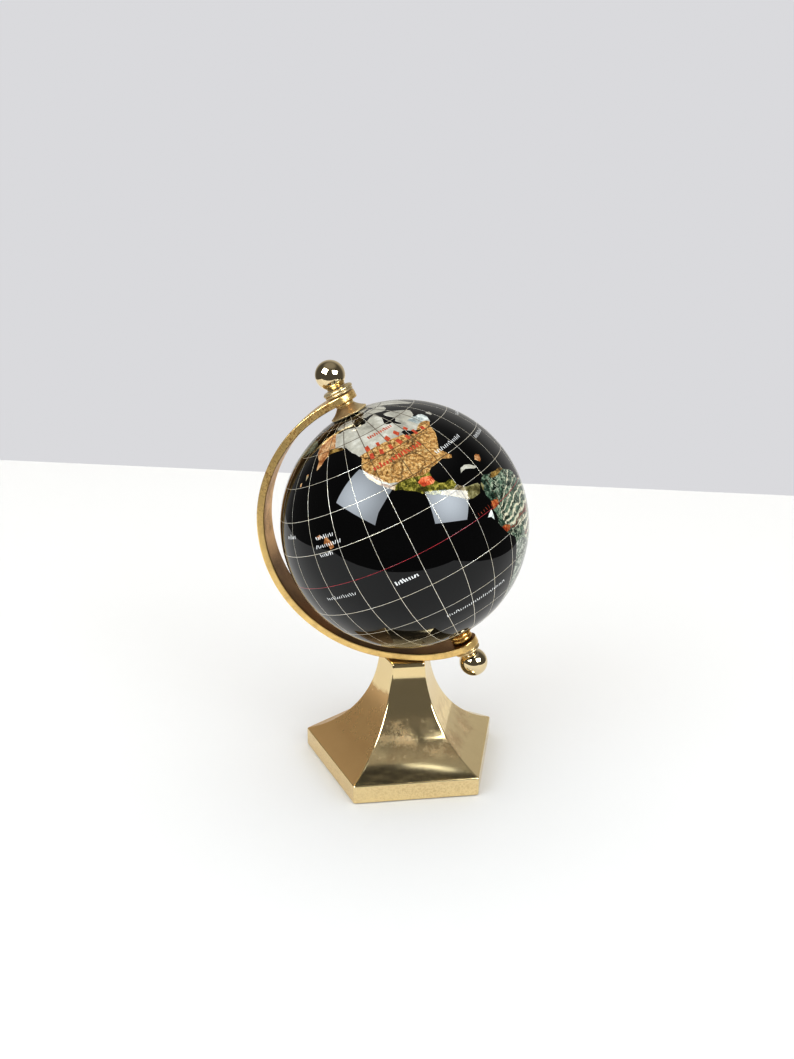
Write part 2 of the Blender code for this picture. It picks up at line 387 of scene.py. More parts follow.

# %% [markdown]
# The foot was buffed by hand: bright on the neck and along the rim, cloudy in the hollow where a
# cloth doesn't reach, and satin all over on the left, with small brown pits round the plinth. On
# the left the metal is also darker and more orange, a painted shade for how that side is lit. The
# height above the table, shaken a little by noise so that no edge is straight, steers the haze.

# %% The foot's finish
foot_brass, wear = brass("foot_brass", tarnish="A06A34", Dullness=0.12, Patch_Size=95.0)
place = place_on(foot_brass.node_tree)
x, y, z = split(place)
height = noisy(place, 150.0, 5.0, 0.6) * 0.006 + (z - 0.003)
on_plinth = ramp(z, PLINTH_HEIGHT, PLINTH_HEIGHT - 0.0004)
hollow = ramp(height, 0.0225, 0.0195) * ramp(height, 0.0092, 0.0110)
satin_and_shade = ramp(y - x * 2.6, 0.0, 0.001) * ramp(height, 0.0290, 0.0265) * (1.0 - on_plinth * 0.8)
smudges = ramp(noisy(place, 230.0, 5.0, 0.7), 0.38, 0.62, 0.10, 0.52)
film = maths("MAXIMUM", on_plinth * 0.12 + 0.22, hollow * smudges)
# On the left face the metal turns darker and more orange: painted shade for that side, over its
# satin wear.
plug(wear, Metal=blend(satin_and_shade * 0.8, tint("F4DFB0"), tint("C89E64")), Specks=on_plinth * 0.2,
     Haze=maths("MAXIMUM", hollow * (1.0 - satin_and_shade * 0.8) * 0.80 + 0.10, satin_and_shade * 0.14),
     Polish=satin_and_shade * 0.20 + ramp(height, 0.0110, 0.0092, 0.06, 0.13),
     Film=maths("MAXIMUM", film, satin_and_shade * 0.50), Evenness=satin_and_shade * 0.60 + 0.35)
foot.data.materials.append(foot_brass)

# %% [markdown]
# ## The bent strip
# A flat brass strip, bent to a half ring by hand, so its distance from the ball drifts a little. It
# ends in two round tabs that run straight across the axis. The half ring is a section carried along
# the bend, as in the solid, with more steps and round edges.

# %% Build the strip
STRIP_WIDTH, STRIP_THICKNESS, STRIP_EDGE = 0.0112, 0.00248, 0.00045
STRIP_REACH = 0.0046
# Distance of the strip's middle from the ball's centre, every 30 degrees from tab to tab.
STRIP_BEND = (0.0451, 0.0457, 0.0463, 0.0461, 0.0452, 0.0447, 0.0459)
STRIP_STEPS, TAB_STEPS = 200, 14
TAB_TURN, TAB_FLAT, AHEAD = math.radians(84.0), math.radians(3.0), math.radians(0.5)


def bend_slope(index):
    if index in (0, len(STRIP_BEND) - 1):
        return 0.0
    return (STRIP_BEND[index + 1] - STRIP_BEND[index - 1]) / 2.0


def strip_point(angle):
    """Middle of the strip in the axis frame, by angle from the upper tab."""
    last = len(STRIP_BEND) - 2
    place = angle / (math.pi / (last + 1))
    first = min(max(int(place), 0), last)
    part = min(max(place - first, 0.0), 1.0)
    square, cube = part ** 2, part ** 3
    distance = (STRIP_BEND[first] * (2 * cube - 3 * square + 1)
                + bend_slope(first) * (cube - 2 * square + part)
                + STRIP_BEND[first + 1] * (3 * square - 2 * cube)
                + bend_slope(first + 1) * (cube - square))
    return Vector((-math.sin(angle), math.cos(angle))) * distance


def tab_end(end_angle, ahead):
    """Sections of a round tab, from its tip inwards."""
    half = STRIP_WIDTH / 2.0
    sections = []
    for step in range(TAB_STEPS, -1, -1):
        turn = TAB_TURN * step / TAB_STEPS
        tip = Vector((STRIP_REACH - half + half * math.sin(turn), 0.0))
        sections.append((strip_point(end_angle) + tip, Vector((ahead, 0.0)),
                         half * math.cos(turn)))
    return sections


def strip_sections():
    """(middle, direction, half width) from tab to tab."""
    sections = tab_end(0.0, -1.0)
    for step in range(STRIP_STEPS + 1):
        angle = TAB_FLAT + (math.pi - 2.0 * TAB_FLAT) * step / STRIP_STEPS
        travel = strip_point(angle + AHEAD) - strip_point(angle - AHEAD)
        sections.append((strip_point(angle), travel.normalized(), STRIP_WIDTH / 2.0))
    return sections + tab_end(math.pi, 1.0)[::-1]


def section_outline(half):
    """The strip's section as (across, outward), with rounded corners."""
    thick = STRIP_THICKNESS / 2.0
    out = []
    for quarter, (side_a, side_b) in enumerate(((1, 1), (-1, 1), (-1, -1), (1, -1))):
        for step in range(5):
            turn = math.pi / 2.0 * (quarter + step / 4.0)
            out.append((side_a * (half - STRIP_EDGE) + STRIP_EDGE * math.cos(turn),
                        side_b * (thick - STRIP_EDGE) + STRIP_EDGE * math.sin(turn)))
    return out


strip_loops = []
for middle, ahead, half in strip_sections():
    normal = Vector((-ahead.y, ahead.x))
    if normal.dot(middle) < 0.0:
        normal.negate()
    strip_loops.append([((middle + normal * rise).x, across, (middle + normal * rise).y)
                        for across, rise in section_outline(half)])
strip = lofted("bent_strip", strip_loops, LEAN)
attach(strip, "stand")
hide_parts("meridian_arc")

# %% [markdown]
# Tarnish has come back on the strip in fine brown specks, thickest towards the upper tab where
# hands lift it, and hardly at all underneath. The side that faces the ball has tarnish specks too,
# and a darker, browner metal that grows darkest low down: painted shade from the ball above it.

# %% The strip's finish
arc_brass, wear = brass("arc_brass", metal="FFDE98", tarnish="946228", bump=0.05, Haze=0.6,
                        Polish=0.28, Dullness=0.14, Film=0.60, Patch_Size=160.0)
z = split(place_on(arc_brass.node_tree))[2]
plug(wear, Specks=ramp(z, 0.078, 0.104) * 0.8 + 0.10)
arc_inside, wear = brass("arc_inside", tarnish="5C4018", bump=0.03, Specks=0.4, Haze=0.6,
                         Polish=0.30, Dullness=0.2, Film=0.25)
z = split(place_on(arc_inside.node_tree))[2]
# The inner face's metal darkens towards the bottom: painted shade under the ball.
plug(wear, Metal=blend(ramp(z, 0.062, 0.088), tint("9C7238"), tint("E8B468")))
for finish in (arc_brass, arc_inside):
    strip.data.materials.append(finish)
# Faces turned to the ball take the inner finish, with its painted shade.
for face in strip.data.polygons:
    if face.normal.dot((BALL_CENTRE - face.center).normalized()) > 0.7:
        face.material_index = 1

# %% [markdown]
# ## Knobs, washers, cap and bushing
# These are all turned on a lathe, so each is a half section swept round the axis. Small rounds on
# every edge give the thin bright lines that a lathe tool leaves.

# %% Turned sections
KNOB_RADIUS, KNOB_REACH, KNOB_NECK = 0.00473, 0.0532, 0.0030
WASHER_SHAPE = ((0.0034, 0.0021), (0.0043, 0.00195), (0.00478, 0.0016), (0.00489, 0.0012),
                (0.00474, 0.0009), (0.00445, 0.00072), (0.00452, 0.0006), (0.00462, 0.00035),
                (0.00452, 0.0))
TAB_FACE = STRIP_THICKNESS / 2.0 + 0.0003


def washer_section(face, width=1.0, depth=1.0):
    shape = [(radius * width, face + height * depth) for radius, height in WASHER_SHAPE]
    return [(0.0, shape[0][1])] + shape + [(0.0, face)]


def knob_section(foot_height):
    join = math.pi - math.asin(KNOB_NECK / KNOB_RADIUS)
    section = [(KNOB_RADIUS * math.sin(join * step / 40), KNOB_REACH
                + KNOB_RADIUS * math.cos(join * step / 40)) for step in range(41)]
    return section + [(KNOB_NECK, foot_height), (0.0, foot_height)]


def below(section):
    return [(radius, -height) for radius, height in reversed(section)]


def fit_turned(name, node, body, section, finish):
    """Turn a section, hang it on its body and let it stand for its solid."""
    piece = turned(name, section, LEAN)
    piece.data.materials.append(finish)
    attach(piece, body)
    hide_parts(node)
    print(name, len(piece.data.polygons), "faces")


upper_face, lower_face = STRIP_BEND[0] + TAB_FACE, STRIP_BEND[-1] + TAB_FACE
for name, node, section, finish in (
        ("upper_domed_washer", "upper_washer", eased(washer_section(upper_face), 0.00015),
         washer_brass),
        ("upper_knob", "upper_finial", knob_section(upper_face + 0.0024), knob_brass),
        ("lower_domed_washer", "lower_washer",
         below(eased(washer_section(lower_face, 0.9, 0.7), 0.00012)), washer_brass),
        ("lower_knob", "lower_finial", below(knob_section(lower_face + 0.00177)), knob_brass)):
    fit_turned(name, node, "stand", section, finish)

# %% [markdown]
# The cap on the north pole is a bell with a bright rim. Its hollow flank has gone brown, because
# nobody can rub it. The ringed bushing under the south pole is dark brown deep in its grooves and
# lighter on its rings, a painted shade in the grooves.

# %% Cap and bushing
CAP_RADIUS, COLLAR_RADIUS, CAP_LIP, CAP_UNDERSIDE = 0.0060, 0.00295, 0.00025, 0.0403
CAP_FLARE_TOP, CAP_FLARE_FOOT, CAP_HOLLOW, CAP_STEPS = 0.0427, 0.0404, 0.3, 16


def axis_place(tree):
    """The place on a piece in the axis frame."""
    return add_node(tree, "ShaderNodeMapping", Vector=place_on(tree),
                    Location=tuple(BALL_CENTRE), Rotation=(0.0, -AXIS_TILT, 0.0),
                    settings={"vector_type": "TEXTURE"})


def ringed_brass(name, tones, steps, **wear):
    """Brass in three tones from the axis out, changing at the two given radii."""
    material, group = brass(name, **wear)
    across = vector_maths("MULTIPLY", axis_place(material.node_tree), (1.0, 1.0, 0.0))
    reach = vector_maths("LENGTH", across, out=1)
    tone = tint(tones[0])
    for step, after in zip(steps, tones[1:]):
        tone = blend(ramp(reach, step - 0.0001, step + 0.0001), tone, tint(after))
    plug(group, Metal=tone)
    return material


cap_top = STRIP_BEND[0] - TAB_FACE
cap_section = [(0.0, cap_top), (COLLAR_RADIUS - 0.0001, cap_top),
               (COLLAR_RADIUS, cap_top - 0.0001), (COLLAR_RADIUS, cap_top - 0.00055),
               (COLLAR_RADIUS - 0.0002, cap_top - 0.00065),
               (COLLAR_RADIUS - 0.0002, CAP_FLARE_TOP + 0.00005)]
for step in range(CAP_STEPS + 1):
    share = step / CAP_STEPS
    turn = math.pi / 2.0 * share
    out = share + (1.0 - math.cos(turn) - share) * CAP_HOLLOW
    down = share + (math.sin(turn) - share) * CAP_HOLLOW
    cap_section.append((COLLAR_RADIUS + (CAP_RADIUS - CAP_LIP - COLLAR_RADIUS) * out,
                        CAP_FLARE_TOP - (CAP_FLARE_TOP - CAP_FLARE_FOOT) * down))
cap_section += [(CAP_RADIUS, CAP_FLARE_FOOT - 0.00015), (CAP_RADIUS - 0.0001, 0.03988),
                (CAP_RADIUS / 2.0, math.sqrt(CAP_UNDERSIDE ** 2 - CAP_RADIUS ** 2 / 4.0)),
                (0.0, CAP_UNDERSIDE)]
fit_turned("bell_cap", "pole_cap", "globe", eased(cap_section, 0.00006),
           ringed_brass("cap_brass", ("F4DCA0", "DAC69A", "F8E2B0"),
                        (COLLAR_RADIUS + 0.0001, CAP_RADIUS - 0.0004), tarnish="7C5C3A",
                        Specks=0.3, Haze=0.8, Polish=0.38, Dullness=0.10, Film=0.75,
                        Patch_Size=260.0))

BUSHING_RADIUS, BUSHING_GROOVE, BUSHING_RINGS = 0.0037, 0.00045, 3
far = STRIP_BEND[-1] - TAB_FACE
pitch = (far - CAP_UNDERSIDE) / BUSHING_RINGS
bushing_section = [(0.0, far)]
for ring in range(BUSHING_RINGS):
    for step in range(9):
        turn = math.pi * step / 8.0
        bushing_section.append((BUSHING_RADIUS - BUSHING_GROOVE * (1.0 - math.sin(turn)),
                                far - pitch * (ring + 0.5 * (1.0 - math.cos(turn)))))
bushing_section.append((0.0, CAP_UNDERSIDE))
fit_turned("ringed_bushing", "lower_bushing", "stand", below(bushing_section),
           # The metal is dark brown at the bottom of each groove and lighter towards the crests:
           # painted shade in the grooves.
           ringed_brass("bushing_brass", ("5A3814", "DC983C", "F4C874"),
                        (BUSHING_RADIUS - 0.0004, BUSHING_RADIUS - 0.0002), tarnish="8A5A28",
                        Specks=0.2, Haze=0.8, Polish=0.16, Dullness=0.2, Film=0.4,
                        Patch_Size=260.0))

# %% [markdown]
# ## The map, cut in stone
# Each land is a slice of stone cut to a simplified coast and set into the black ball, ground flush.
# Coasts are given as longitude and latitude, going round each land. Three kinds of outline are laid
# over one another: lands, which are stone; countries, which change the stone inside a land; and
# waters, which cut the land back to black. The ball's surface is one closed mesh, divided along all
# these lines, so nothing stands proud.

# %% Coasts of the lands
LANDS = {
    "north_america": ("shell", [
        (-165, 66.5), (-160, 68.5), (-152, 70.3), (-146, 69.6), (-140, 69), (-131, 69.8),
        (-124, 68.6), (-115, 67.6), (-108, 67.2), (-103, 68.6), (-98, 69.8), (-92, 70.3),
        (-88.5, 70.2), (-89.5, 67), (-91, 64.5), (-94.5, 61), (-95.5, 59.8), (-93, 58.3),
        (-90.5, 58.2), (-89.5, 57.6), (-88.4, 55.8), (-87, 54.6), (-85.6, 54.8), (-86, 56.5),
        (-87, 57.9), (-85, 58.6), (-83.8, 60), (-85, 62.5), (-85.8, 65), (-84, 66.6), (-79, 66.2),
        (-74, 64.8), (-70, 62.5), (-67.5, 60), (-65.2, 58.4), (-68, 56.5), (-70.5, 55.2),
        (-73.5, 54.4), (-71, 53.6), (-68, 53.6), (-66, 52.5), (-66.5, 50), (-68.5, 48),
        (-70.5, 46.5), (-72.3, 46.2), (-75, 44), (-77, 41), (-79.5, 38.5), (-82, 36.5),
        (-84, 34.5), (-84.2, 33), (-83, 30.5), (-81.8, 28.6), (-83, 27.4), (-85, 28.2),
        (-87.5, 29.6), (-91, 29.2), (-95, 28.8), (-97.5, 27.6), (-98, 25.5), (-97.6, 23.3),
        (-96.5, 21.6), (-94, 20.3), (-91.5, 20.6), (-90.3, 19.8), (-90, 17.6), (-88.6, 15.6),
        (-86.5, 14.2), (-82, 13.2), (-80.2, 12.6), (-79.8, 11.3), (-82.3, 8.4), (-87, 8.4),
        (-89.5, 9.6), (-92.5, 12), (-96, 15), (-99, 16.8), (-103, 19.3), (-106, 21),
        (-108, 23.5), (-111, 25.2), (-113, 26.8), (-116, 27.6), (-119, 30.5), (-122, 33.5),
        (-125, 37), (-126.8, 41), (-126.5, 44.5), (-124.6, 48), (-126.5, 50.5), (-129.5, 53),
        (-132, 55.5), (-134, 57.6), (-137, 57.3), (-143, 57.6), (-149, 57.6), (-153, 55.6),
        (-156, 53), (-159.8, 51), (-160.3, 53), (-159.5, 56), (-162, 58.5), (-164.5, 61),
        (-166, 64)]),
    "west_isles": ("shell", [
        (-148, 74.8), (-141, 76.5), (-130, 77), (-120, 76.5), (-115.5, 74.6), (-119, 71.8),
        (-123.5, 70), (-131, 70.9), (-139, 71.2), (-146, 72.6)]),
    "east_isles": ("shell", [
        (-106, 73.4), (-100, 75.6), (-92, 76.6), (-80, 77), (-70, 76), (-62, 74), (-64, 71.5),
        (-70, 69.3), (-76, 68.4), (-80, 69), (-86, 71), (-94, 71.8), (-101, 71.4)]),
    "far_north_isle": ("shell", [
        (-95, 78), (-80, 78.5), (-66, 79), (-62, 82), (-75, 83.5), (-92, 82)]),
    "newfoundland": ("shell", [
        (-63, 51.5), (-60.5, 51.8), (-58.8, 50.6), (-60, 48.9), (-62.3, 49)]),
    "greenland": ("shell", [
        (-44, 60), (-50, 62), (-54, 67), (-58, 73), (-66, 76), (-60, 82), (-40, 83.5), (-22, 82),
        (-18, 77), (-21, 71), (-30, 68), (-40, 65)]),
    "cuba": ("shell", [
        (-84.6, 20), (-83, 21.7), (-80, 22), (-77.5, 20.8), (-75.4, 18.6), (-75, 17.8), (-77, 18),
        (-79, 19.4), (-81, 20.3)]),
    "hispaniola": ("peach", [
        (-73, 21), (-71, 22.3), (-69.5, 22.3), (-67.5, 21.2), (-69.6, 19.2), (-71, 18.8)]),
    "hawaii": ("peach", [
        (-156.6, 20.8), (-155, 21.4), (-154.2, 19.6), (-153.2, 18.6), (-152.6, 16), (-154.8, 15.4),
        (-155.4, 17.4), (-157.6, 18.8)]),
    "kauai": ("peach", [(-161, 22.2), (-159, 22.8), (-157.8, 21.6), (-159.6, 20.8)]),
    "aleut_east": ("cream", [(-170.5, 50.5), (-168.5, 51), (-167.5, 49.6), (-169.6, 47.9)]),
    "aleut_west": ("peach", [(-175.5, 47), (-173.5, 47.5), (-173.3, 45.8), (-175, 45.4)]),
    "galapagos": ("pearl", [(-84.6, -2), (-82, -0.6), (-80.8, 0), (-81, -2.6), (-81.6, -5),
                            (-82.5, -2.9)]),
    "south_america": ("moss", [
        (-80, 9.5), (-79.4, 11.2), (-77.5, 12.8), (-74.5, 13.8), (-71, 12.4), (-67, 11.8),
        (-62, 11.4), (-58.5, 9), (-54, 6.8), (-51, 4.5), (-49.8, 1), (-45, -0.6), (-40, -2.6),
        (-35.5, -5.4), (-35, -8.5), (-38, -13), (-39.2, -18), (-41.5, -22.3), (-46, -24.6),
        (-48.8, -28), (-52.3, -32.8), (-56, -36), (-58.5, -38.6), (-62.3, -40), (-64.5, -43),
        (-66.5, -47), (-68.5, -51), (-67.5, -54.5), (-71.5, -54.2), (-74.5, -50.5), (-74.8, -45),
        (-73.5, -38), (-71.8, -31), (-70.6, -24), (-70.8, -19), (-73.8, -16), (-76.5, -13.6),
        (-78.6, -10.4), (-80.2, -7), (-79.2, -4.2), (-80, -1), (-79, 3), (-80, 6)]),
    "eurasia": ("sage", [
        (28, 71), (41, 67), (54, 68.5), (68, 69), (73, 72), (80, 73), (98, 76), (105, 77.5),
        (113, 74), (128, 72.5), (140, 73), (152, 71), (161, 69.5), (170, 70), (180, 69),
        (188, 66), (184, 63), (178, 62.5), (170, 60), (163, 58), (162.5, 55), (157, 51.5),
        (155.5, 55), (158, 60), (152, 59.3), (142, 59), (137, 54.5), (141, 52), (139, 47.5),
        (132, 43), (129.5, 41), (127.5, 39.5), (129.3, 36), (126.5, 34.5), (125, 38.5),
        (121.5, 39), (118, 39), (119, 37), (122, 36.8), (120, 34), (121.8, 31), (119.5, 25.5),
        (114, 22.3), (108.5, 21.5), (106, 19), (109, 13), (106.5, 9), (104, 10.5), (101, 13),
        (99.5, 10), (103.3, 3), (103.5, 1.3), (100.5, 5.5), (98.3, 9), (97.5, 16), (94.3, 16.5),
        (91.5, 22.5), (87, 21.5), (82, 16.5), (80, 13), (77.5, 8), (74.5, 13.5), (72.7, 19.5),
        (70, 21), (67, 24.8), (61, 25.2), (57, 26.5), (51.5, 28), (48.5, 30), (50.5, 26),
        (54, 24), (56.3, 26), (59.8, 22.5), (57, 19), (52, 15.5), (45, 12.8), (43, 14.5),
        (39, 21), (35.2, 28), (34.5, 31.8), (36, 36.3), (31, 36.5), (27, 37), (26.5, 40),
        (29, 41), (35, 42), (41, 41.5), (38, 44.5), (39, 47), (35, 46), (33, 46), (30.5, 46.3),
        (28, 43.5), (28, 41.3), (24, 40.8), (22.8, 37), (20, 40), (19.3, 42), (13.8, 45.5),
        (12.5, 44), (16, 41.8), (18.4, 40), (16, 38), (12, 41.7), (9, 44.3), (3.5, 43.2),
        (0, 40), (-0.5, 38), (-2, 36.8), (-5.5, 36.1), (-9, 37.2), (-9, 43), (-2, 43.5),
        (-1.5, 46.5), (-4.5, 48.3), (0.5, 49.8), (4, 52), (8.5, 54), (8.2, 57), (10.5, 57.5),
        (10.5, 54.5), (14, 54), (19, 54.7), (21.5, 57), (24, 58.5), (29.5, 59.8), (23.5, 60),
        (21.5, 62.5), (25, 65.2), (22, 65.8), (17.5, 62), (18, 60), (16, 57), (12.8, 55.6),
        (11, 59), (7, 58), (5, 61), (12, 66), (20, 69.8)]),
    "africa": ("tan", [
        (-6, 35.7), (3, 36.8), (10.5, 37.2), (11, 33.5), (15, 32.3), (20, 31), (25, 31.7),
        (32.3, 31.2), (33.5, 28), (37, 21), (39.5, 15.5), (43.2, 11.8), (51, 11.8), (48, 5),
        (42, -1.5), (39.3, -6), (40.7, -14.5), (35.5, -20), (35.3, -24), (32.6, -28), (28, -33),
        (20, -34.8), (18, -32), (15, -26), (11.8, -17.5), (13.5, -10), (9, -1), (9.5, 4),
        (4.5, 6.3), (-4, 5.2), (-8, 4.4), (-13, 8.8), (-17, 14.7), (-16.5, 21), (-13, 27.7),
        (-9.5, 31)]),
    "madagascar": ("olive", [
        (49.3, -12), (50.4, -15.5), (47.5, -24.8), (44.5, -25), (43.8, -21), (44.5, -16.5)]),
    "australia": ("peach", [
        (114, -22), (122, -18), (126, -14), (131, -12), (136, -12), (135.8, -15), (140, -17.5),
        (142.3, -11), (146, -18.5), (150.5, -23), (153.3, -28), (150, -37.5), (144, -38.7),
        (140, -37.5), (138, -33.5), (135.5, -34.8), (131, -31.6), (124, -33.5), (118, -35),
        (115, -33.8), (115.5, -29)]),
    "tasmania": ("jasper", [(144.8, -40.8), (148.2, -41), (147, -43.6), (145.6, -43)]),
    "north_zealand": ("moss", [
        (172.8, -34.6), (175.8, -36.8), (178.4, -37.8), (176.5, -40.5), (174.8, -41.4),
        (174, -39.3)]),
    "south_zealand": ("moss", [
        (172.8, -40.6), (174.2, -41.8), (171, -44.6), (168.8, -46.6), (166.6, -45.8), (170, -43)]),
    "sumatra": ("orange", [
        (95.4, 5.5), (98.5, 3.8), (103.8, -1.5), (106, -5.8), (102, -4), (98.6, 0.5)]),
    "java": ("orange", [(105.5, -6.3), (110.5, -6.6), (114.5, -7.7), (111, -8.3), (106, -7.5)]),
    "borneo": ("olive", [
        (109.2, 1.8), (113, 3), (117, 6.8), (118.8, 4.5), (117.6, 0.5), (116, -3.8),
        (111.5, -3.4), (109.3, -0.5)]),
    "celebes": ("orange", [
        (119.5, 1), (123, 0.8), (121.5, -1), (123, -4.5), (120.6, -5.4), (119.4, -3)]),
    "new_guinea": ("rust", [
        (131, -0.8), (137.8, -1.6), (144, -3.9), (147.8, -6.5), (150.6, -10.5), (146.8, -9),
        (142.6, -9.3), (138.2, -8.2), (134, -3.9)]),
    "philippines": ("peach", [
        (120.5, 18.4), (122.2, 18.2), (124.3, 12.6), (126.3, 7.5), (124, 6.4), (122, 10.5),
        (120, 14.6)]),
    "japan": ("rust", [
        (130, 33.6), (131, 31.4), (135.8, 33.6), (140.2, 35.4), (141.8, 39.6), (141, 41.3),
        (139.6, 38.5), (136.5, 36.6), (132.5, 35.4)]),
    "hokkaido": ("rust", [(140.2, 41.8), (143.2, 42), (145.4, 43.4), (141.8, 45.4)]),
    "britain": ("rust", [
        (-5.4, 50.1), (1, 51), (1.5, 52.8), (-1.5, 55), (-2.5, 57.6), (-5, 58.5), (-5.6, 55.6),
        (-3.2, 54.2), (-4.8, 52)]),
    "ireland": ("moss", [(-9.8, 51.7), (-6.2, 52.4), (-5.8, 54.8), (-8.2, 55.2), (-10, 53.6)]),
    "iceland": ("shell", [(-22.5, 64), (-18.5, 63.4), (-14, 65), (-16, 66.4), (-22.5, 66.2)]),
    "ceylon": ("orange", [(79.8, 9.5), (81.8, 7.4), (81, 6), (79.8, 6.6)]),
}

# %% Countries and waters
COUNTRIES = [
    ("peach", [(-170, 72), (-146.8, 72), (-145, 66), (-143.4, 59.8), (-148, 60.6), (-150, 57),
               (-156, 50), (-170, 50)]),
    ("gold", [(-150, 60.6), (-143.5, 59.8), (-137, 58.9), (-135.2, 57), (-143, 56.5),
              (-150, 56.8)]),
    ("jasper", [(-130, 48.8), (-92.8, 48.8), (-92.8, 47), (-84, 47.4), (-80.5, 48.6),
                (-73, 49.2), (-71, 47.6), (-70, 44), (-78, 34), (-80, 26), (-97.8, 26.2),
                (-101.5, 27.8), (-104, 28.6), (-107, 29.4), (-112, 29.9), (-117, 31.6),
                (-122, 36), (-125.6, 41), (-128, 46)]),
    ("biscuit", [(-128, 40), (-125.8, 40.5), (-122, 35), (-117.2, 30.6), (-112.5, 28.8),
                 (-112.5, 26), (-117, 26), (-124, 31)]),
    ("olive", [(-114.5, 29.2), (-112, 30.2), (-104, 29), (-101, 27.6), (-96, 27.8), (-96, 22),
               (-86, 22), (-89, 17.3), (-92.5, 16.4), (-97, 17.6), (-102, 16), (-112, 22),
               (-118, 26)]),
    ("orange", [(-105.2, 26.3), (-102.5, 27.3), (-98.6, 26.2), (-96.5, 23.8), (-99.3, 22.6),
                (-103.5, 23.1)]),
    ("cream", [(-98, 17.9), (-92.5, 16.4), (-89, 16.4), (-87, 13.4), (-87.8, 10.2), (-91, 7),
               (-100, 14)]),
    ("khaki", [(-87.6, 14.6), (-79, 14.5), (-78, 10), (-83, 6), (-88.6, 8), (-87.9, 10.2)]),
    ("pearl", [(-80.5, 54.2), (-74, 54.6), (-62, 53), (-64, 46), (-72, 48.6), (-79, 49.6)]),
    ("chevron", [(-76.5, -3.5), (-74, 1), (-66, 3.5), (-58, 8.5), (-44, 6), (-30, -6),
                 (-36, -24), (-48, -36), (-57, -28), (-60, -19), (-66, -15.2), (-74.8, -13.2),
                 (-76.5, -8)]),
    ("gold", [(-72, 11.4), (-66, 13), (-56, 13), (-57, 9.6), (-66, 9.4), (-71, 10)]),
    ("rust", [(-81, 2.6), (-77, 2.8), (-74.8, 1.2), (-75.6, -0.6), (-81, -0.8)]),
    ("rust", [(-81, -9.6), (-76.8, -9.8), (-73, -11.6), (-74.6, -13.4), (-81, -12.4)]),
    ("ash", [(-78, -22), (-66, -21), (-60, -24), (-54, -27), (-50, -34), (-56, -45), (-60, -58),
             (-78, -58)]),
    ("tan", [(-12, 35), (24, 35), (24, 54.5), (14, 55.4), (-12, 56)]),
    ("shell", [(4, 56.5), (14, 55), (24, 59), (31, 66), (32, 73), (3, 70)]),
    ("cream", [(33, 41), (42, 42), (50, 38), (60, 38), (62, 24), (60, 10), (40, 10), (32, 28)]),
    ("peach", [(50, 52), (62, 54.5), (76, 54), (87, 49), (80, 42), (66, 40), (53, 42)]),
    ("jasper", [(74, 40), (87, 49), (97, 42.6), (112, 44), (120, 50), (134, 48), (124, 38),
                (124, 18), (100, 20), (97, 28), (80, 30)]),
    ("olive", [(87, 49.2), (98, 52), (116, 50), (120, 47), (112, 43.6), (97, 42.4)]),
    ("rust", [(67, 24), (74, 34), (80, 30.5), (88, 27.5), (92, 26), (92, 5), (66, 5)]),
    ("moss", [(92, 28), (100, 22.5), (110, 22), (112, 0), (95, 0), (91, 20)]),
    ("sage", [(-20, 16), (0, 15), (14, 13), (14, 3), (-20, 0)]),
    ("orange", [(22, 33), (36, 33), (40, 20), (54, 12), (44, -3), (30, 2), (22, 10)]),
    ("olive", [(9, 5), (28, 6), (30, -10), (10, -12), (6, -2)]),
    ("rust", [(8, -14), (44, -12), (40, -37), (10, -37)]),
    ("cream", [(141, -10), (156, -10), (156, -40), (141, -40)]),
]
WATERS = [
    [(-92.6, 50.4), (-90.4, 50.6), (-88.6, 49.4), (-87.4, 48.4), (-85.5, 47.6), (-83, 46.8),
     (-81.2, 46.4), (-82.5, 45.9), (-86, 46.2), (-89.5, 46.7), (-92.4, 47.6)],
    [(48, 46.5), (53, 47), (54, 41), (53.5, 37), (49.5, 37.5), (50, 41)],
]
# Everything south of this shore is the southern continent.
SOUTH_SHORE = [
    (0, -70), (30, -69.5), (55, -66.5), (90, -66.5), (120, -66.8), (150, -68.5), (165, -73),
    (190, -78), (210, -77), (240, -74), (260, -73), (285, -73), (298, -64.5), (302, -64),
    (298, -70), (300, -75), (325, -78), (340, -73)]
print(len(LANDS), "lands,", len(COUNTRIES), "countries")

# %% [markdown]
# ## Dividing the ball
# A flat map of the whole ball that keeps small shapes true is the view from the south pole onto a
# plane. On that plane Blender's constrained Delaunay routine joins an even spread of points and all
# the coasts into triangles, and reports which outlines hold each triangle. Lifted back onto the
# ball, the triangles become the stone pieces. Coasts are shaken a little first, by the same smooth
# noise everywhere, so neighbours still share one line. That noise starts from the clock unless
# noise.seed_set is given a number before it, which is not done here. So the fine shake of the
# coasts, and where the wires stop at them, differ a little from one run to the next.

# %% Cut the ball
MAP_TURN = math.radians(43.0)     # the axis frame's +X meets the ball at 43 degrees west
COAST_STEP = 0.016                # radians between points along a coast
COAST_SHAKE = 0.0055
BROAD_WAVES, FINE_WAVES = 14.0, 37.0
SPREAD_POINTS = 15000
SAME_PLACE = 1e-7                 # points nearer than this are one
SOUTH_LIMIT = math.radians(-86.5)
SOUTH_RING = 48
GOLDEN_TURN = math.pi * (3.0 - math.sqrt(5.0))


def direction(turn, rise):
    """Unit vector in the axis frame, from its angles east and north."""
    return Vector((math.cos(rise) * math.cos(turn), math.cos(rise) * math.sin(turn),
                   math.sin(rise)))


def to_plane(point):
    return Vector((point.x, point.y)) / (1.0 + point.z)


def from_plane(spot):
    square = spot.length_squared
    return Vector((2.0 * spot.x, 2.0 * spot.y, 1.0 - square)) / (1.0 + square)


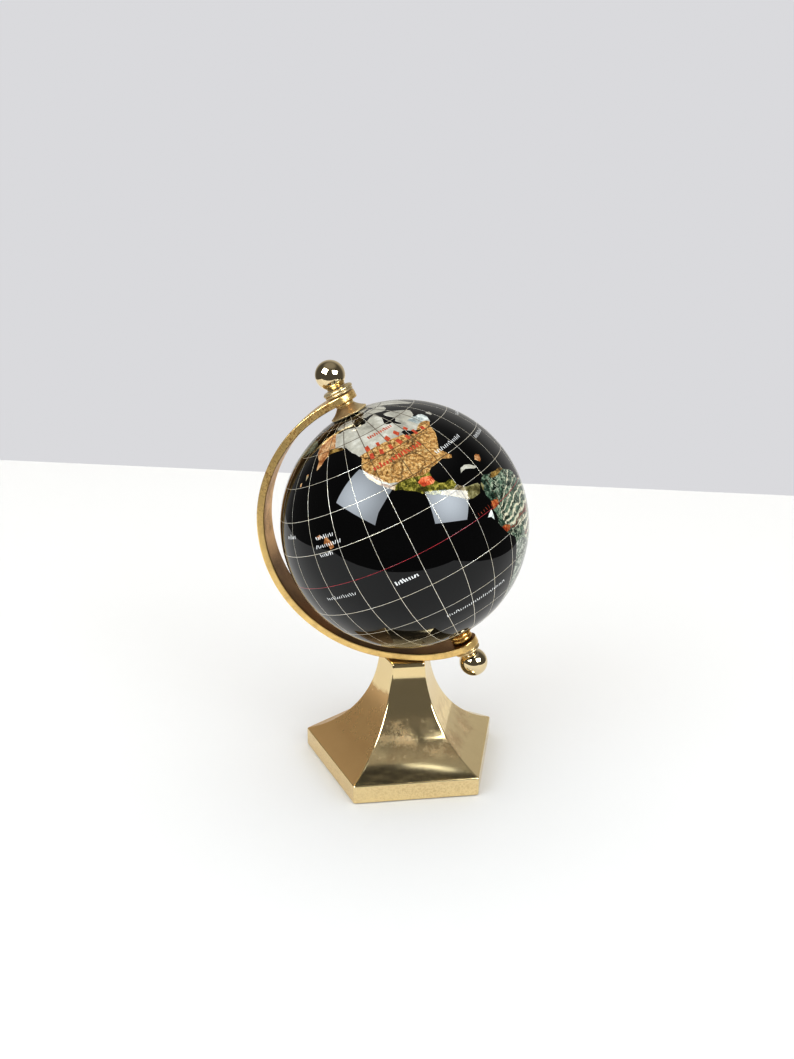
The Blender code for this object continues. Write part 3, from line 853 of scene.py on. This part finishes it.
def coast_line(outline):
    """Points round an outline given in degrees, evenly spaced and shaken."""
    corners = [direction(math.radians(longitude) + MAP_TURN, math.radians(latitude))
               for longitude, latitude in outline]
    points = []
    for start, end in zip(corners, corners[1:] + corners[:1]):
        steps = max(1, round(start.angle(end) / COAST_STEP))
        for step in range(steps):
            point = start.lerp(end, step / steps).normalized()
            shake = (noise.noise_vector(point * BROAD_WAVES)
                     + noise.noise_vector(point * FINE_WAVES) * 0.5)
            points.append((point + shake * COAST_SHAKE).normalized())
    return points


plan_points, plan_faces, plan_kinds = [], [], []


def add_outline(kind, stone, outline):
    """Add an outline to the plan, running anticlockwise."""
    flat = [to_plane(point) for point in coast_line(outline)]
    if sum(a.x * b.y - b.x * a.y for a, b in zip(flat, flat[1:] + flat[:1])) < 0.0:
        flat.reverse()
    plan_faces.append(list(range(len(plan_points), len(plan_points) + len(flat))))
    plan_points.extend(flat)
    plan_kinds.append((kind, stone))


for stone, outline in LANDS.values():
    add_outline("land", stone, outline)
for stone, outline in COUNTRIES:
    add_outline("country", stone, outline)
for outline in WATERS:
    add_outline("water", "black", outline)
add_outline("sea", "black", SOUTH_SHORE)

for index in range(SPREAD_POINTS):
    height = 1.0 - 2.0 * (index + 0.5) / SPREAD_POINTS
    if height > math.sin(SOUTH_LIMIT) + 0.0005:
        reach = math.sqrt(1.0 - height * height)
        turn = index * GOLDEN_TURN
        plan_points.append(to_plane(Vector((reach * math.cos(turn), reach * math.sin(turn),
                                            height))))
for index in range(SOUTH_RING):
    plan_points.append(to_plane(direction(math.tau * index / SOUTH_RING, SOUTH_LIMIT)))

cut = geometry.delaunay_2d_cdt(plan_points, [], plan_faces, 0, SAME_PLACE, True)
cut_verts, cut_faces, cut_origins = cut[0], cut[2], cut[5]
ball_points = [from_plane(spot) for spot in cut_verts]
print("ball cut into", len(cut_faces), "triangles")


def stone_of(origins):
    """Which stone a triangle is, from the outlines that hold it."""
    kinds = [plan_kinds[index] for index in sorted(origins)]
    if not any(kind == "sea" for kind, _stone in kinds):
        return "cream"
    lands = [stone for kind, stone in kinds if kind == "land"]
    if not lands or any(kind == "water" for kind, _stone in kinds):
        return "black"
    return ([lands[-1]] + [stone for kind, stone in kinds if kind == "country"])[-1]


# %% Build the ball
STONES = ["black", "shell", "pearl", "jasper", "tan", "biscuit", "peach", "gold", "cream",
          "olive", "orange", "moss", "khaki", "chevron", "rust", "ash", "sage"]
pole = len(ball_points)
ball_points.append(Vector((0.0, 0.0, -1.0)))
ball_faces = [list(face) for face in cut_faces]
ball_stones = [STONES.index(stone_of(origins)) for origins in cut_origins]
edge_count = Counter(tuple(sorted(edge)) for face in cut_faces
                     for edge in zip(face, face[1:] + face[:1]))
for (a, b), count in edge_count.items():
    if count == 1:
        ball_faces.append([b, a, pole])
        ball_stones.append(STONES.index("cream"))
ball_mesh = bpy.data.meshes.new("stone_ball")
ball_mesh.from_pydata([point * BALL_RADIUS for point in ball_points], [], ball_faces)
outward(ball_mesh)
for face, stone in zip(ball_mesh.polygons, ball_stones):
    face.material_index = stone
ball_mesh.shade_smooth()
ball_mesh.transform(LEAN)
ball_mesh.normals_split_custom_set_from_vertices(
    [(vertex.co - BALL_CENTRE).normalized() for vertex in ball_mesh.vertices])
ball = add_piece("stone_ball", ball_mesh)
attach(ball, "globe")
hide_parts("globe_ball")
print("ball:", len(ball_mesh.polygons), "faces, bad edges:",
      sum(count > 2 for count in edge_count.values()))

# %% [markdown]
# ## Stone and lacquer
# Every stone is built from the same group: cloudy noise blends three tones, a warped cell pattern
# draws veins, and contour lines of the noise draw the fine dark rings that picture jasper has.
# Clear lacquer lies over all of it, so each material carries a smooth coat.

# %% The stone figure group
stone_figure, given, results = new_group(
    "stone_figure", "ShaderNodeTree",
    {"Dark": tint("505050"), "Mid": tint("808080"), "Light": tint("B0B0B0"),
     "Vein": tint("202020"), "Scale": 200.0, "Warp": 0.003, "Spread": 0.08, "Veins": 0.3,
     "Vein Width": 0.04, "Vein Share": 0.9, "Contours": 0.0, "Ring Share": 0.54, "Grain": 0.15},
    {"Colour": "Color", "Roughness": "Float", "Height": "Float"})
place, scale = place_on(stone_figure), given["Scale"]
push = vector_maths("SUBTRACT", noisy(place, scale * 0.6, 3.0, out=1), (0.5, 0.5, 0.5))
warped = vector_maths("ADD", place, vector_maths("SCALE", push, scale=given["Warp"]))
cloud = noisy(warped, scale, 7.0, 0.65)
figure = blend(ramp(cloud, 0.5 - given["Spread"] * 2.0, 0.5), given["Dark"], given["Mid"])
figure = blend(ramp(cloud, 0.5, given["Spread"] * 2.0 + 0.5), figure, given["Light"])
vein_scale = scale * given["Vein Share"]
cells = add_node(stone_figure, "ShaderNodeTexVoronoi", Vector=warped, Scale=vein_scale,
                 settings={"feature": "DISTANCE_TO_EDGE"})
vein = (ramp(cells, 0.0, given["Vein Width"], 1.0, 0.0)
        * ramp(noisy(place, vein_scale * 0.5), 0.40, 0.56) * given["Veins"])
slow = noisy(warped, scale * given["Ring Share"], 3.0, 0.6, 0.6)
rings = ramp(maths("PINGPONG", slow * 7.0, 0.5), 0.03, 0.17, 1.0, 0.0) * given["Contours"]
figure = blend(maths("MAXIMUM", vein, rings), figure, given["Vein"])
grit = (noisy(place, scale * 5.0, 3.0, 0.7) - 0.5) * given["Grain"]
plug(results, Colour=vector_maths("SCALE", figure, scale=grit * 4.0 + 1.0),
     Roughness=ramp(cloud, 0.3, 0.7, 0.25, 0.45), Height=cloud)
print("stone group:", len(stone_figure.nodes), "nodes")

# %% Stone finishes
STEP = math.radians(15.0)         # between grid lines
LOOK_INPUTS = ("Dark", "Mid", "Light", "Vein", "Scale", "Warp", "Spread", "Veins", "Vein_Width",
               "Contours", "Grain")
STONE_LOOKS = {
    "black": ("020203", "030304", "050506", "0A0A0C", 120.0, 0.002, 0.08, 0.1, 0.02, 0.0, 0.05),
    "shell": ("9E9C92", "BEBCB0", "D6D5CC", "7C7A70", 170.0, 0.004, 0.08, 0.2, 0.02, 0.0, 0.10),
    "pearl": ("98A2A2", "C8D0CC", "F2F6F2", "2A3034", 320.0, 0.006, 0.05, 0.2, 0.05, 0.0, 0.12),
    "jasper": ("8E6436", "C49A5E", "E6C890", "38240F", 1300.0, 0.0016, 0.06, 0.95, 0.05, 0.5, 0.5),
    "tan": ("86623A", "B08A58", "D0B486", "4A3018", 300.0, 0.004, 0.06, 0.4, 0.05, 0.4, 0.3),
    "biscuit": ("94704C", "B89A76", "D6C6A8", "5E3E24", 420.0, 0.004, 0.05, 0.3, 0.05, 0.2, 0.3),
    "peach": ("9C683C", "C29264", "DEBE94", "7C4220", 420.0, 0.004, 0.05, 0.5, 0.06, 0.2, 0.35),
    "gold": ("4E3A18", "866A34", "B4985A", "2E2006", 420.0, 0.004, 0.05, 0.3, 0.05, 0.3, 0.35),
    "cream": ("7C6E52", "9C9072", "BEB498", "6E5C3C", 320.0, 0.004, 0.05, 0.3, 0.04, 0.0, 0.25),
    "olive": ("3A3C10", "74702A", "B8AE5A", "1C200A", 760.0, 0.004, 0.05, 0.6, 0.09, 0.0, 0.5),
    "orange": ("B4482A", "DC7048", "F2A87C", "7C2A18", 420.0, 0.004, 0.05, 0.4, 0.05, 0.0, 0.35),
    "moss": ("14261C", "344A3C", "768E7A", "CCD6BE", 640.0, 0.006, 0.05, 0.8, 0.13, 0.0, 0.45),
    "khaki": ("4E4A2C", "767048", "9C9872", "3C3820", 420.0, 0.004, 0.05, 0.4, 0.05, 0.0, 0.35),
    "chevron": ("182C22", "42584A", "869A86", "C8D2BC", 680.0, 0.005, 0.05, 0.5, 0.10, 0.0, 0.4),
    "rust": ("6E2816", "9E4422", "C88450", "3A1608", 560.0, 0.005, 0.05, 0.4, 0.06, 0.0, 0.45),
    "ash": ("525C54", "8E968A", "CCCEC0", "3C443C", 460.0, 0.008, 0.05, 0.4, 0.08, 0.0, 0.35),
    "sage": ("3C4438", "687060", "98A08C", "242A22", 300.0, 0.006, 0.06, 0.4, 0.05, 0.0, 0.30),
}
JOINT_CORE, JOINT_EDGE = 0.0018, 0.0050    # half widths in radians
JASPER_SHARES = {"Vein_Share": 0.12, "Ring_Share": 0.15}
FOLD_EAST, FAN_SOUTH, FAN_REACH = (math.radians(turn) for turn in (-55.0, 13.0, 42.0))


def bearings(tree):
    """The angles east and north of the place on the ball, in the axis frame."""
    x, y, z = split(axis_place(tree))
    return maths("ARCTAN2", y, x), maths("ARCSINE", z / BALL_RADIUS)


def jointed(colour, east, north):
    """The colour with the thin dark joints where each grid line crosses a land."""
    across = maths("PINGPONG", east - MAP_TURN, STEP / 2.0) * maths("COSINE", north)
    nearest = maths("MINIMUM", across, maths("PINGPONG", north, STEP / 2.0))
    return blend(ramp(nearest, JOINT_CORE, JOINT_EDGE, 0.8, 0.0), colour, tint("4A3A28"))


def folded(colour, east, north):
    """Pale bands that fan out and fold back, as a cut across a folded bed gives."""
    place = place_on(colour.tree)
    reach = FAN_REACH - maths("ABSOLUTE", east - (FOLD_EAST + MAP_TURN))
    fan = noisy(place, 260.0, 4.0, 0.6) * 0.22 + (north + FAN_SOUTH) / reach
    band = maths("PINGPONG", fan * 9.0, 0.5)
    thin = ramp(north, math.radians(-12.0), math.radians(4.0), 0.0, 0.16)
    pale = ramp(band - thin, 0.22, 0.32) * ramp(noisy(place, 900.0, 3.0, 0.7), 0.36, 0.46)
    red = ramp(maths("PINGPONG", fan * 4.0, 0.5), 0.36, 0.44) * ramp(band, 0.08, 0.20, 1.0, 0.0)
    return blend(red * 0.75, blend(pale, colour, tint("E2DEC6")), tint("94483A"))


def lacquered(name):
    """One stone under its lacquer."""
    material, tree, shader = new_material("stone_" + name)
    look = [tint(value) if isinstance(value, str) else value for value in STONE_LOOKS[name]]
    shares = JASPER_SHARES if name == "jasper" else {}
    cut_face = use_group(tree, stone_figure, **dict(zip(LOOK_INPUTS, look)), **shares)[1]
    colour = cut_face["Colour"]
    if name != "black":
        east, north = bearings(tree)
        if name == "chevron":
            colour = folded(colour, east, north)
        colour = jointed(colour, east, north)
    plug(shader, Base_Color=colour, Roughness=cut_face["Roughness"], Coat_Weight=1.0,
         Coat_Roughness=0.012, Coat_IOR=1.5, Specular_IOR_Level=0.0)
    return material


for name in STONES:
    ball.data.materials.append(lacquered(name))
print("stones:", len(ball.data.materials))

# %% [markdown]
# ## Wires
# Brass wires are let into the black along the meridians and the parallels, 15 degrees apart, and a
# red line marks the equator. They follow a rule, so Geometry Nodes draws them: one unit circle is
# put on a few points, turned for a meridian or shrunk for a parallel, and swept with a round
# profile whose crown just clears the stone. A wire stops at the coast, because a land was cut into
# panels there and only a dark joint shows, so the sections that lie over a land are taken out and
# the ends closed.

# %% A tree for circles on a ball
def end_tree(shape, given, results):
    """Make the result real, with its material."""
    real = add_node(shape.tree, "GeometryNodeRealizeInstances", Geometry=shape)
    plug(results, add_node(shape.tree, "GeometryNodeSetMaterial", Geometry=real,
                           Material=given["Material"]))


wire_tree, given, results = new_group(
    "ball_circles", "GeometryNodeTree",
    {"Meridian Circles": 0, "Parallels": 0, "First Latitude": 0.0, "Step": 0.0,
     "Ball Radius": 0.0, "Wire Radius": 0.0, "Crown": 0.0, "Segments": 0, "Sides": 0,
     "Material": None}, {"Geometry": "Geometry"})
ring_radius = given["Ball Radius"] + given["Crown"] - given["Wire Radius"]
circle = add_node(wire_tree, "GeometryNodeCurvePrimitiveCircle", Resolution=given["Segments"],
                  Radius=ring_radius)
order = add_node(wire_tree, "GeometryNodeInputIndex")
spots = add_node(wire_tree, "GeometryNodePoints", Count=given["Meridian Circles"])
upright = add_node(wire_tree, "FunctionNodeEulerToRotation",
                   Euler=combine(math.pi / 2.0, 0.0, order * given["Step"] + MAP_TURN))
meridians = add_node(wire_tree, "GeometryNodeInstanceOnPoints", Points=spots, Instance=circle,
                     Rotation=upright)
latitude = order * given["Step"] + given["First Latitude"]
rungs = add_node(wire_tree, "GeometryNodePoints", Count=given["Parallels"],
                 Position=combine(0.0, 0.0, maths("SINE", latitude) * ring_radius))
# The instances' own index runs over the same points, so the latitude is worked out again by it.
shrink = maths("COSINE", latitude)
parallels = add_node(wire_tree, "GeometryNodeInstanceOnPoints", Points=rungs, Instance=circle,
                     Scale=combine(shrink, shrink, 1.0))
both = add_node(wire_tree, "GeometryNodeJoinGeometry", meridians)
plug(both.socket.node, parallels)
curves = add_node(wire_tree, "GeometryNodeRealizeInstances", Geometry=both)
even = add_node(wire_tree, "GeometryNodeSetCurveRadius", Curve=curves, Radius=1.0)
profile = add_node(wire_tree, "GeometryNodeCurvePrimitiveCircle", Resolution=given["Sides"],
                   Radius=given["Wire Radius"])
swept = add_node(wire_tree, "GeometryNodeCurveToMesh", even, profile)
end_tree(add_node(wire_tree, "GeometryNodeSetShadeSmooth", Geometry=swept), given, results)


def grow(name, tree, **values):
    """Run a tree on an empty carrier with these inputs, and return the plain mesh it makes."""
    carrier = bpy.data.objects.new(name, bpy.data.meshes.new(name + "_carrier"))
    bpy.context.scene.collection.objects.link(carrier)
    modifier = carrier.modifiers.new("grow", "NODES")
    modifier.node_group = tree
    for socket in tree.interface.items_tree:
        if socket.in_out == "INPUT":
            modifier[socket.identifier] = values[socket.name.replace(" ", "_")]
    evaluated = carrier.evaluated_get(bpy.context.evaluated_depsgraph_get())
    mesh = bpy.data.meshes.new_from_object(evaluated)
    mesh.name = name
    carrier.modifiers.remove(modifier)
    bpy.data.objects.remove(carrier)
    return mesh


# %% Wire finishes
def two_toned(name, low, high, scale, smoothest, coat_roughness, metallic=0.0):
    """A finish that wanders between two tones, under a clear coat."""
    material, tree, shader = new_material(name)
    tone = noisy(place_on(tree), scale, 3.0)
    plug(shader, Base_Color=blend(ramp(tone, 0.35, 0.65), tint(low), tint(high)),
         Metallic=metallic, Roughness=ramp(tone, 0.3, 0.7, smoothest, 0.5), Coat_Weight=1.0,
         Coat_Roughness=coat_roughness)
    return material


wire_brass = two_toned("wire_brass", "F4EAD0", "FFFCF2", 900.0, 0.4, 0.05, metallic=0.6)
red_line = two_toned("red_line", "921226", "C81E36", 700.0, 0.35, 0.05)

# %% Lay the wires
WIRE = dict(Wire_Radius=0.00017, Crown=0.000028, Segments=576, Sides=8)
ball_tree = BVHTree.FromPolygons(ball_points, ball_faces)


def lay(name, mesh):
    """Put a mesh that was made in the axis frame on the ball."""
    piece = add_piece(name, mesh, LEAN)
    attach(piece, "globe")
    print(name, len(mesh.polygons), "faces")


def stop_at_coasts(mesh):
    """Take out the wire sections that lie over a land, and close the cut ends."""
    shape = bmesh.new()
    shape.from_mesh(mesh)
    shape.faces.ensure_lookup_table()
    lost = []
    for first in range(0, len(shape.faces), WIRE["Sides"]):
        section = shape.faces[first:first + WIRE["Sides"]]
        middle = sum((face.calc_center_median() for face in section), Vector()).normalized()
        if STONES[ball_stones[ball_tree.find_nearest(middle)[2]]] != "black":
            lost.extend(section)
    bmesh.ops.delete(shape, geom=lost, context="FACES")
    bmesh.ops.holes_fill(shape, edges=shape.edges, sides=0)
    print("open edges left:", sum(edge.is_boundary for edge in shape.edges))
    shape.to_mesh(mesh)
    shape.free()


def circles(name, meridian_circles, parallels, first_latitude, material):
    return grow(name, wire_tree, Meridian_Circles=meridian_circles, Parallels=parallels,
                First_Latitude=first_latitude, Step=STEP, Ball_Radius=BALL_RADIUS,
                Material=material, **WIRE)


for name, numbers in (("north_wires", (12, 5, STEP)), ("south_wires", (0, 5, -5.0 * STEP))):
    wires = circles(name, *numbers, wire_brass)
    stop_at_coasts(wires)
    lay(name, wires)
lay("equator_line", circles("equator_line", 0, 1, 0.0, red_line))

# %% [markdown]
# ## Marks where names stood
# Rows of small printed marks sit on the lacquer, white on the sea and red on the land. They are
# plain strokes and not letters. A second tree lays a row: points along a parallel, a flat bar on
# each with its own lean and length, and one step that wraps the flat row round the ball.

# %% A tree for rows of strokes
mark_tree, given, results = new_group(
    "stroke_row", "GeometryNodeTree",
    {"Count": 0, "West": 0.0, "Latitude": 0.0, "Span": 0.0, "Tall": 0.0, "Thick": 0.0,
     "Seed": 0, "Ball Radius": 0.0, "Proud": 0.0, "Material": None}, {"Geometry": "Geometry"})
order = add_node(mark_tree, "GeometryNodeInputIndex")


def chance(low, high, shift):
    """A number for each stroke, fixed by the row's seed."""
    return add_node(mark_tree, "FunctionNodeRandomValue", None, None, low, high, out=1,
                    settings={"data_type": "FLOAT"}, ID=order, Seed=given["Seed"] + shift)


stature = chance(0.62, 1.0, 3.0)
along = (order + 0.5) / given["Count"] * given["Span"] + given["West"]
rise = (stature - 1.0) * given["Tall"] * 0.5 + given["Latitude"]
spots = add_node(mark_tree, "GeometryNodePoints", Count=given["Count"],
                 Position=combine(along, rise, 0.0))
narrow = given["Thick"] / maths("COSINE", given["Latitude"])
bar = add_node(mark_tree, "GeometryNodeMeshCube", Vertices_X=3, Vertices_Y=5,
               Size=combine(narrow, given["Tall"], given["Proud"]))
leaning = add_node(mark_tree, "FunctionNodeEulerToRotation",
                   Euler=combine(0.0, 0.0, chance(-0.5, 0.5, 1.0)))
bars = add_node(mark_tree, "GeometryNodeInstanceOnPoints", Points=spots, Instance=bar,
                Rotation=leaning, Scale=combine(chance(0.8, 1.3, 2.0), stature, 1.0))
laid = add_node(mark_tree, "GeometryNodeRealizeInstances", Geometry=bars)
x, y, z = split(add_node(mark_tree, "GeometryNodeInputPosition"))
reach = given["Ball Radius"] + z
ring = maths("COSINE", y) * reach
wrapped = combine(maths("COSINE", x) * ring, maths("SINE", x) * ring, maths("SINE", y) * reach)
end_tree(add_node(mark_tree, "GeometryNodeSetPosition", Geometry=laid, Position=wrapped), given,
         results)

# %% Print the rows
# Rows: (west end, latitude, span, height, stroke width, strokes), all but the last in degrees.
WHITE_ROWS = [(-88.0, 33.4, 21.0, 2.1, 0.38, 15), (-134.0, -7.6, 11.0, 2.2, 0.62, 9),
              (-59.0, 28.0, 15.0, 2.1, 0.5, 9), (-186.0, 24.0, 9.0, 2.1, 0.5, 6),
              (-170.0, -5.6, 18.0, 1.7, 0.36, 14), (-162.0, 21.6, 11.0, 1.8, 0.44, 9),
              (-163.0, 18.0, 15.0, 1.8, 0.44, 12), (-162.0, 14.2, 8.0, 1.8, 0.44, 7),
              (-121.0, -35.4, 39.0, 1.8, 0.34, 30), (-44.0, 40.0, 14.0, 1.8, 0.4, 8)]
RED_ROWS = [(-115.0, 57.2, 22.0, 2.2, 0.45, 12), (-122.5, 51.6, 38.0, 3.2, 1.5, 5),
            (-121.5, 47.0, 45.0, 3.3, 1.6, 7), (-121.0, 41.0, 31.0, 2.6, 0.8, 16),
            (-89.0, 1.6, 15.0, 1.8, 0.16, 9), (-104.5, 24.2, 7.0, 1.4, 0.4, 6)]
INK_HEIGHT = 0.00003


def print_rows(name, rows, material):
    joined = bmesh.new()
    for seed, (west, latitude, span, tall, thick, count) in enumerate(rows):
        row = grow("row", mark_tree, Count=count, West=math.radians(west) + MAP_TURN,
                   Latitude=math.radians(latitude), Span=math.radians(span),
                   Tall=math.radians(tall), Thick=math.radians(thick), Seed=seed * 7 + 3,
                   Ball_Radius=BALL_RADIUS, Proud=INK_HEIGHT, Material=material)
        joined.from_mesh(row)
        bpy.data.meshes.remove(row)
    mesh = bpy.data.meshes.new(name)
    joined.to_mesh(mesh)
    joined.free()
    mesh.materials.append(material)
    outward(mesh)
    lay(name, mesh)


print_rows("white_marks", WHITE_ROWS,
           two_toned("white_ink", "DCE0E0", "FCFCFC", 1400.0, 0.35, 0.03))
print_rows("red_marks", RED_ROWS,
           two_toned("red_ink", "B43C18", "D05A2A", 1400.0, 0.35, 0.03))

# %% [markdown]
# ## Table, light and camera
# The globe stands on a plain pale table. Two soft boxes light it from the front, high on the left
# and on the right, and the room behind the viewer is dim, which is what makes black lacquer look
# black. The soft boxes and the near edge of the table show in the lacquer and the brass.

# %% Table and soft boxes
def plain_mesh(name, points, material, **visible):
    mesh = bpy.data.meshes.new(name)
    mesh.from_pydata([tuple(point) for point in points], [], [list(range(len(points)))])
    mesh.materials.append(material)
    piece = add_piece(name, mesh)
    for key, value in visible.items():
        setattr(piece, "visible_" + key, value)


pale, tree, shader = new_material("pale_table")
plug(shader, Base_Color=(0.86, 0.86, 0.856, 1.0), Roughness=0.6)
FAR, BACK_EDGE, FLOOR_LEVEL = 8.0, 0.35, -0.0002
LEFT, RIGHT, BACK, TABLE_LEVEL = -0.34, 0.25, 1.5, -0.0001
plain_mesh("floor", [(x, y, FLOOR_LEVEL) for x, y in (
    (-FAR, -FAR), (FAR, -FAR), (FAR, BACK_EDGE), (-FAR, BACK_EDGE))], pale, glossy=False)
plain_mesh("near_table", [(x, y, TABLE_LEVEL) for x, y in (
    (LEFT, -0.215), (RIGHT, -0.225), (RIGHT, BACK), (LEFT, BACK))], pale,
           camera=False, diffuse=False, shadow=False, transmission=False)


def toward(azimuth, elevation, distance):
    """A point seen from the ball's centre; azimuth 0 is towards the viewer, 90 to the right."""
    turn, rise = math.radians(azimuth), math.radians(elevation)
    return BALL_CENTRE + Vector((math.sin(turn) * math.cos(rise),
                                 -math.cos(turn) * math.cos(rise), math.sin(rise))) * distance


def soft_box(name, corners, lamp, distance, strength):
    """A glowing sheet, brighter near its lamp and dimmer for rays that aren't glossy."""
    material, tree, _shader = new_material(name)
    tree.nodes.clear()
    away = vector_maths("SUBTRACT", place_on(tree), tuple(toward(*lamp, distance)))
    away = vector_maths("LENGTH", away, out=1)
    glow = ramp(away, 0.0, 0.60, 1.0, 0.55) * strength
    glow = glow + ramp(away, 0.03, 0.09, strength * 1.5, 0.0)
    glow = glow * (add_node(tree, "ShaderNodeLightPath", out="Is Glossy Ray") * 0.80 + 0.20)
    plug(tree.nodes.new("ShaderNodeOutputMaterial"),
         add_node(tree, "ShaderNodeEmission", (0.86, 0.93, 1.0, 1.0), glow))
    plain_mesh(name, [toward(*corner, distance) for corner in corners], material, camera=False)


soft_box("left_soft_box", [(-66, 52), (-8, 50), (-15, 36), (-19, 26), (-20, 15), (-64, 22)],
         (-46, 33), 1.1, 15.5)
soft_box("right_soft_box", [(30, 45), (78, 33), (65, 14), (34, 17)], (52, 33), 1.2, 17.5)
print("stage pieces: floor, near_table and two soft boxes")

# %% The dim room
world = bpy.data.worlds.new("studio")
bpy.context.scene.world = world
world.use_nodes = True
tree = world.node_tree
tree.nodes.clear()
way = split(add_node(tree, "ShaderNodeTexCoord", out="Generated"))
overhead = ramp(way[2], 0.72, 0.95)
room = ramp(way[1], 0.40, 0.95, 0.13, 0.60) * (1.0 - overhead) + overhead * 0.35
fill = add_node(tree, "ShaderNodeLightPath", out="Is Diffuse Ray") * 1.13
dim = add_node(tree, "ShaderNodeBackground", (1.0, 0.985, 0.96, 1.0),
               maths("MAXIMUM", room, fill))
bright = add_node(tree, "ShaderNodeBackground", (0.975, 0.975, 1.0, 1.0), 0.75)
seen = add_node(tree, "ShaderNodeLightPath", out="Is Camera Ray")
plug(tree.nodes.new("ShaderNodeOutputWorld"),
     add_node(tree, "ShaderNodeMixShader", seen, dim, bright))
view = bpy.context.scene.view_settings
view.view_transform = "Standard"
view.gamma = 0.8                  # a little more contrast, as printed product pictures have
view.exposure = 0.04
print("room:", len(tree.nodes), "nodes")

# %% Camera
CAMERA_PLACE = Vector((0.0322, -0.3047, 0.1877))
CAMERA_YAW, CAMERA_PITCH, CAMERA_ROLL = 0.1164, 0.3293, 0.013
FRAME_HEIGHT, FOCAL = 1059.0, 1000.0
ahead = Vector((-math.sin(CAMERA_YAW) * math.cos(CAMERA_PITCH),
                math.cos(CAMERA_YAW) * math.cos(CAMERA_PITCH), -math.sin(CAMERA_PITCH)))
side = Vector((math.cos(CAMERA_YAW), math.sin(CAMERA_YAW), 0.0))
over = side.cross(ahead)
right = side * math.cos(CAMERA_ROLL) + over * math.sin(CAMERA_ROLL)
up = over * math.cos(CAMERA_ROLL) - side * math.sin(CAMERA_ROLL)
camera_data = bpy.data.cameras.new("camera")
camera_data.sensor_fit = "VERTICAL"
camera_data.sensor_height = 36.0
camera_data.lens = FOCAL / FRAME_HEIGHT * camera_data.sensor_height
camera_data.clip_start = 0.01
camera = bpy.data.objects.new("camera", camera_data)
bpy.context.scene.collection.objects.link(camera)
pose = Matrix((right, up, -ahead)).transposed().to_4x4()
pose.translation = CAMERA_PLACE
camera.matrix_world = pose
bpy.context.scene.camera = camera
print("camera at", tuple(CAMERA_PLACE))
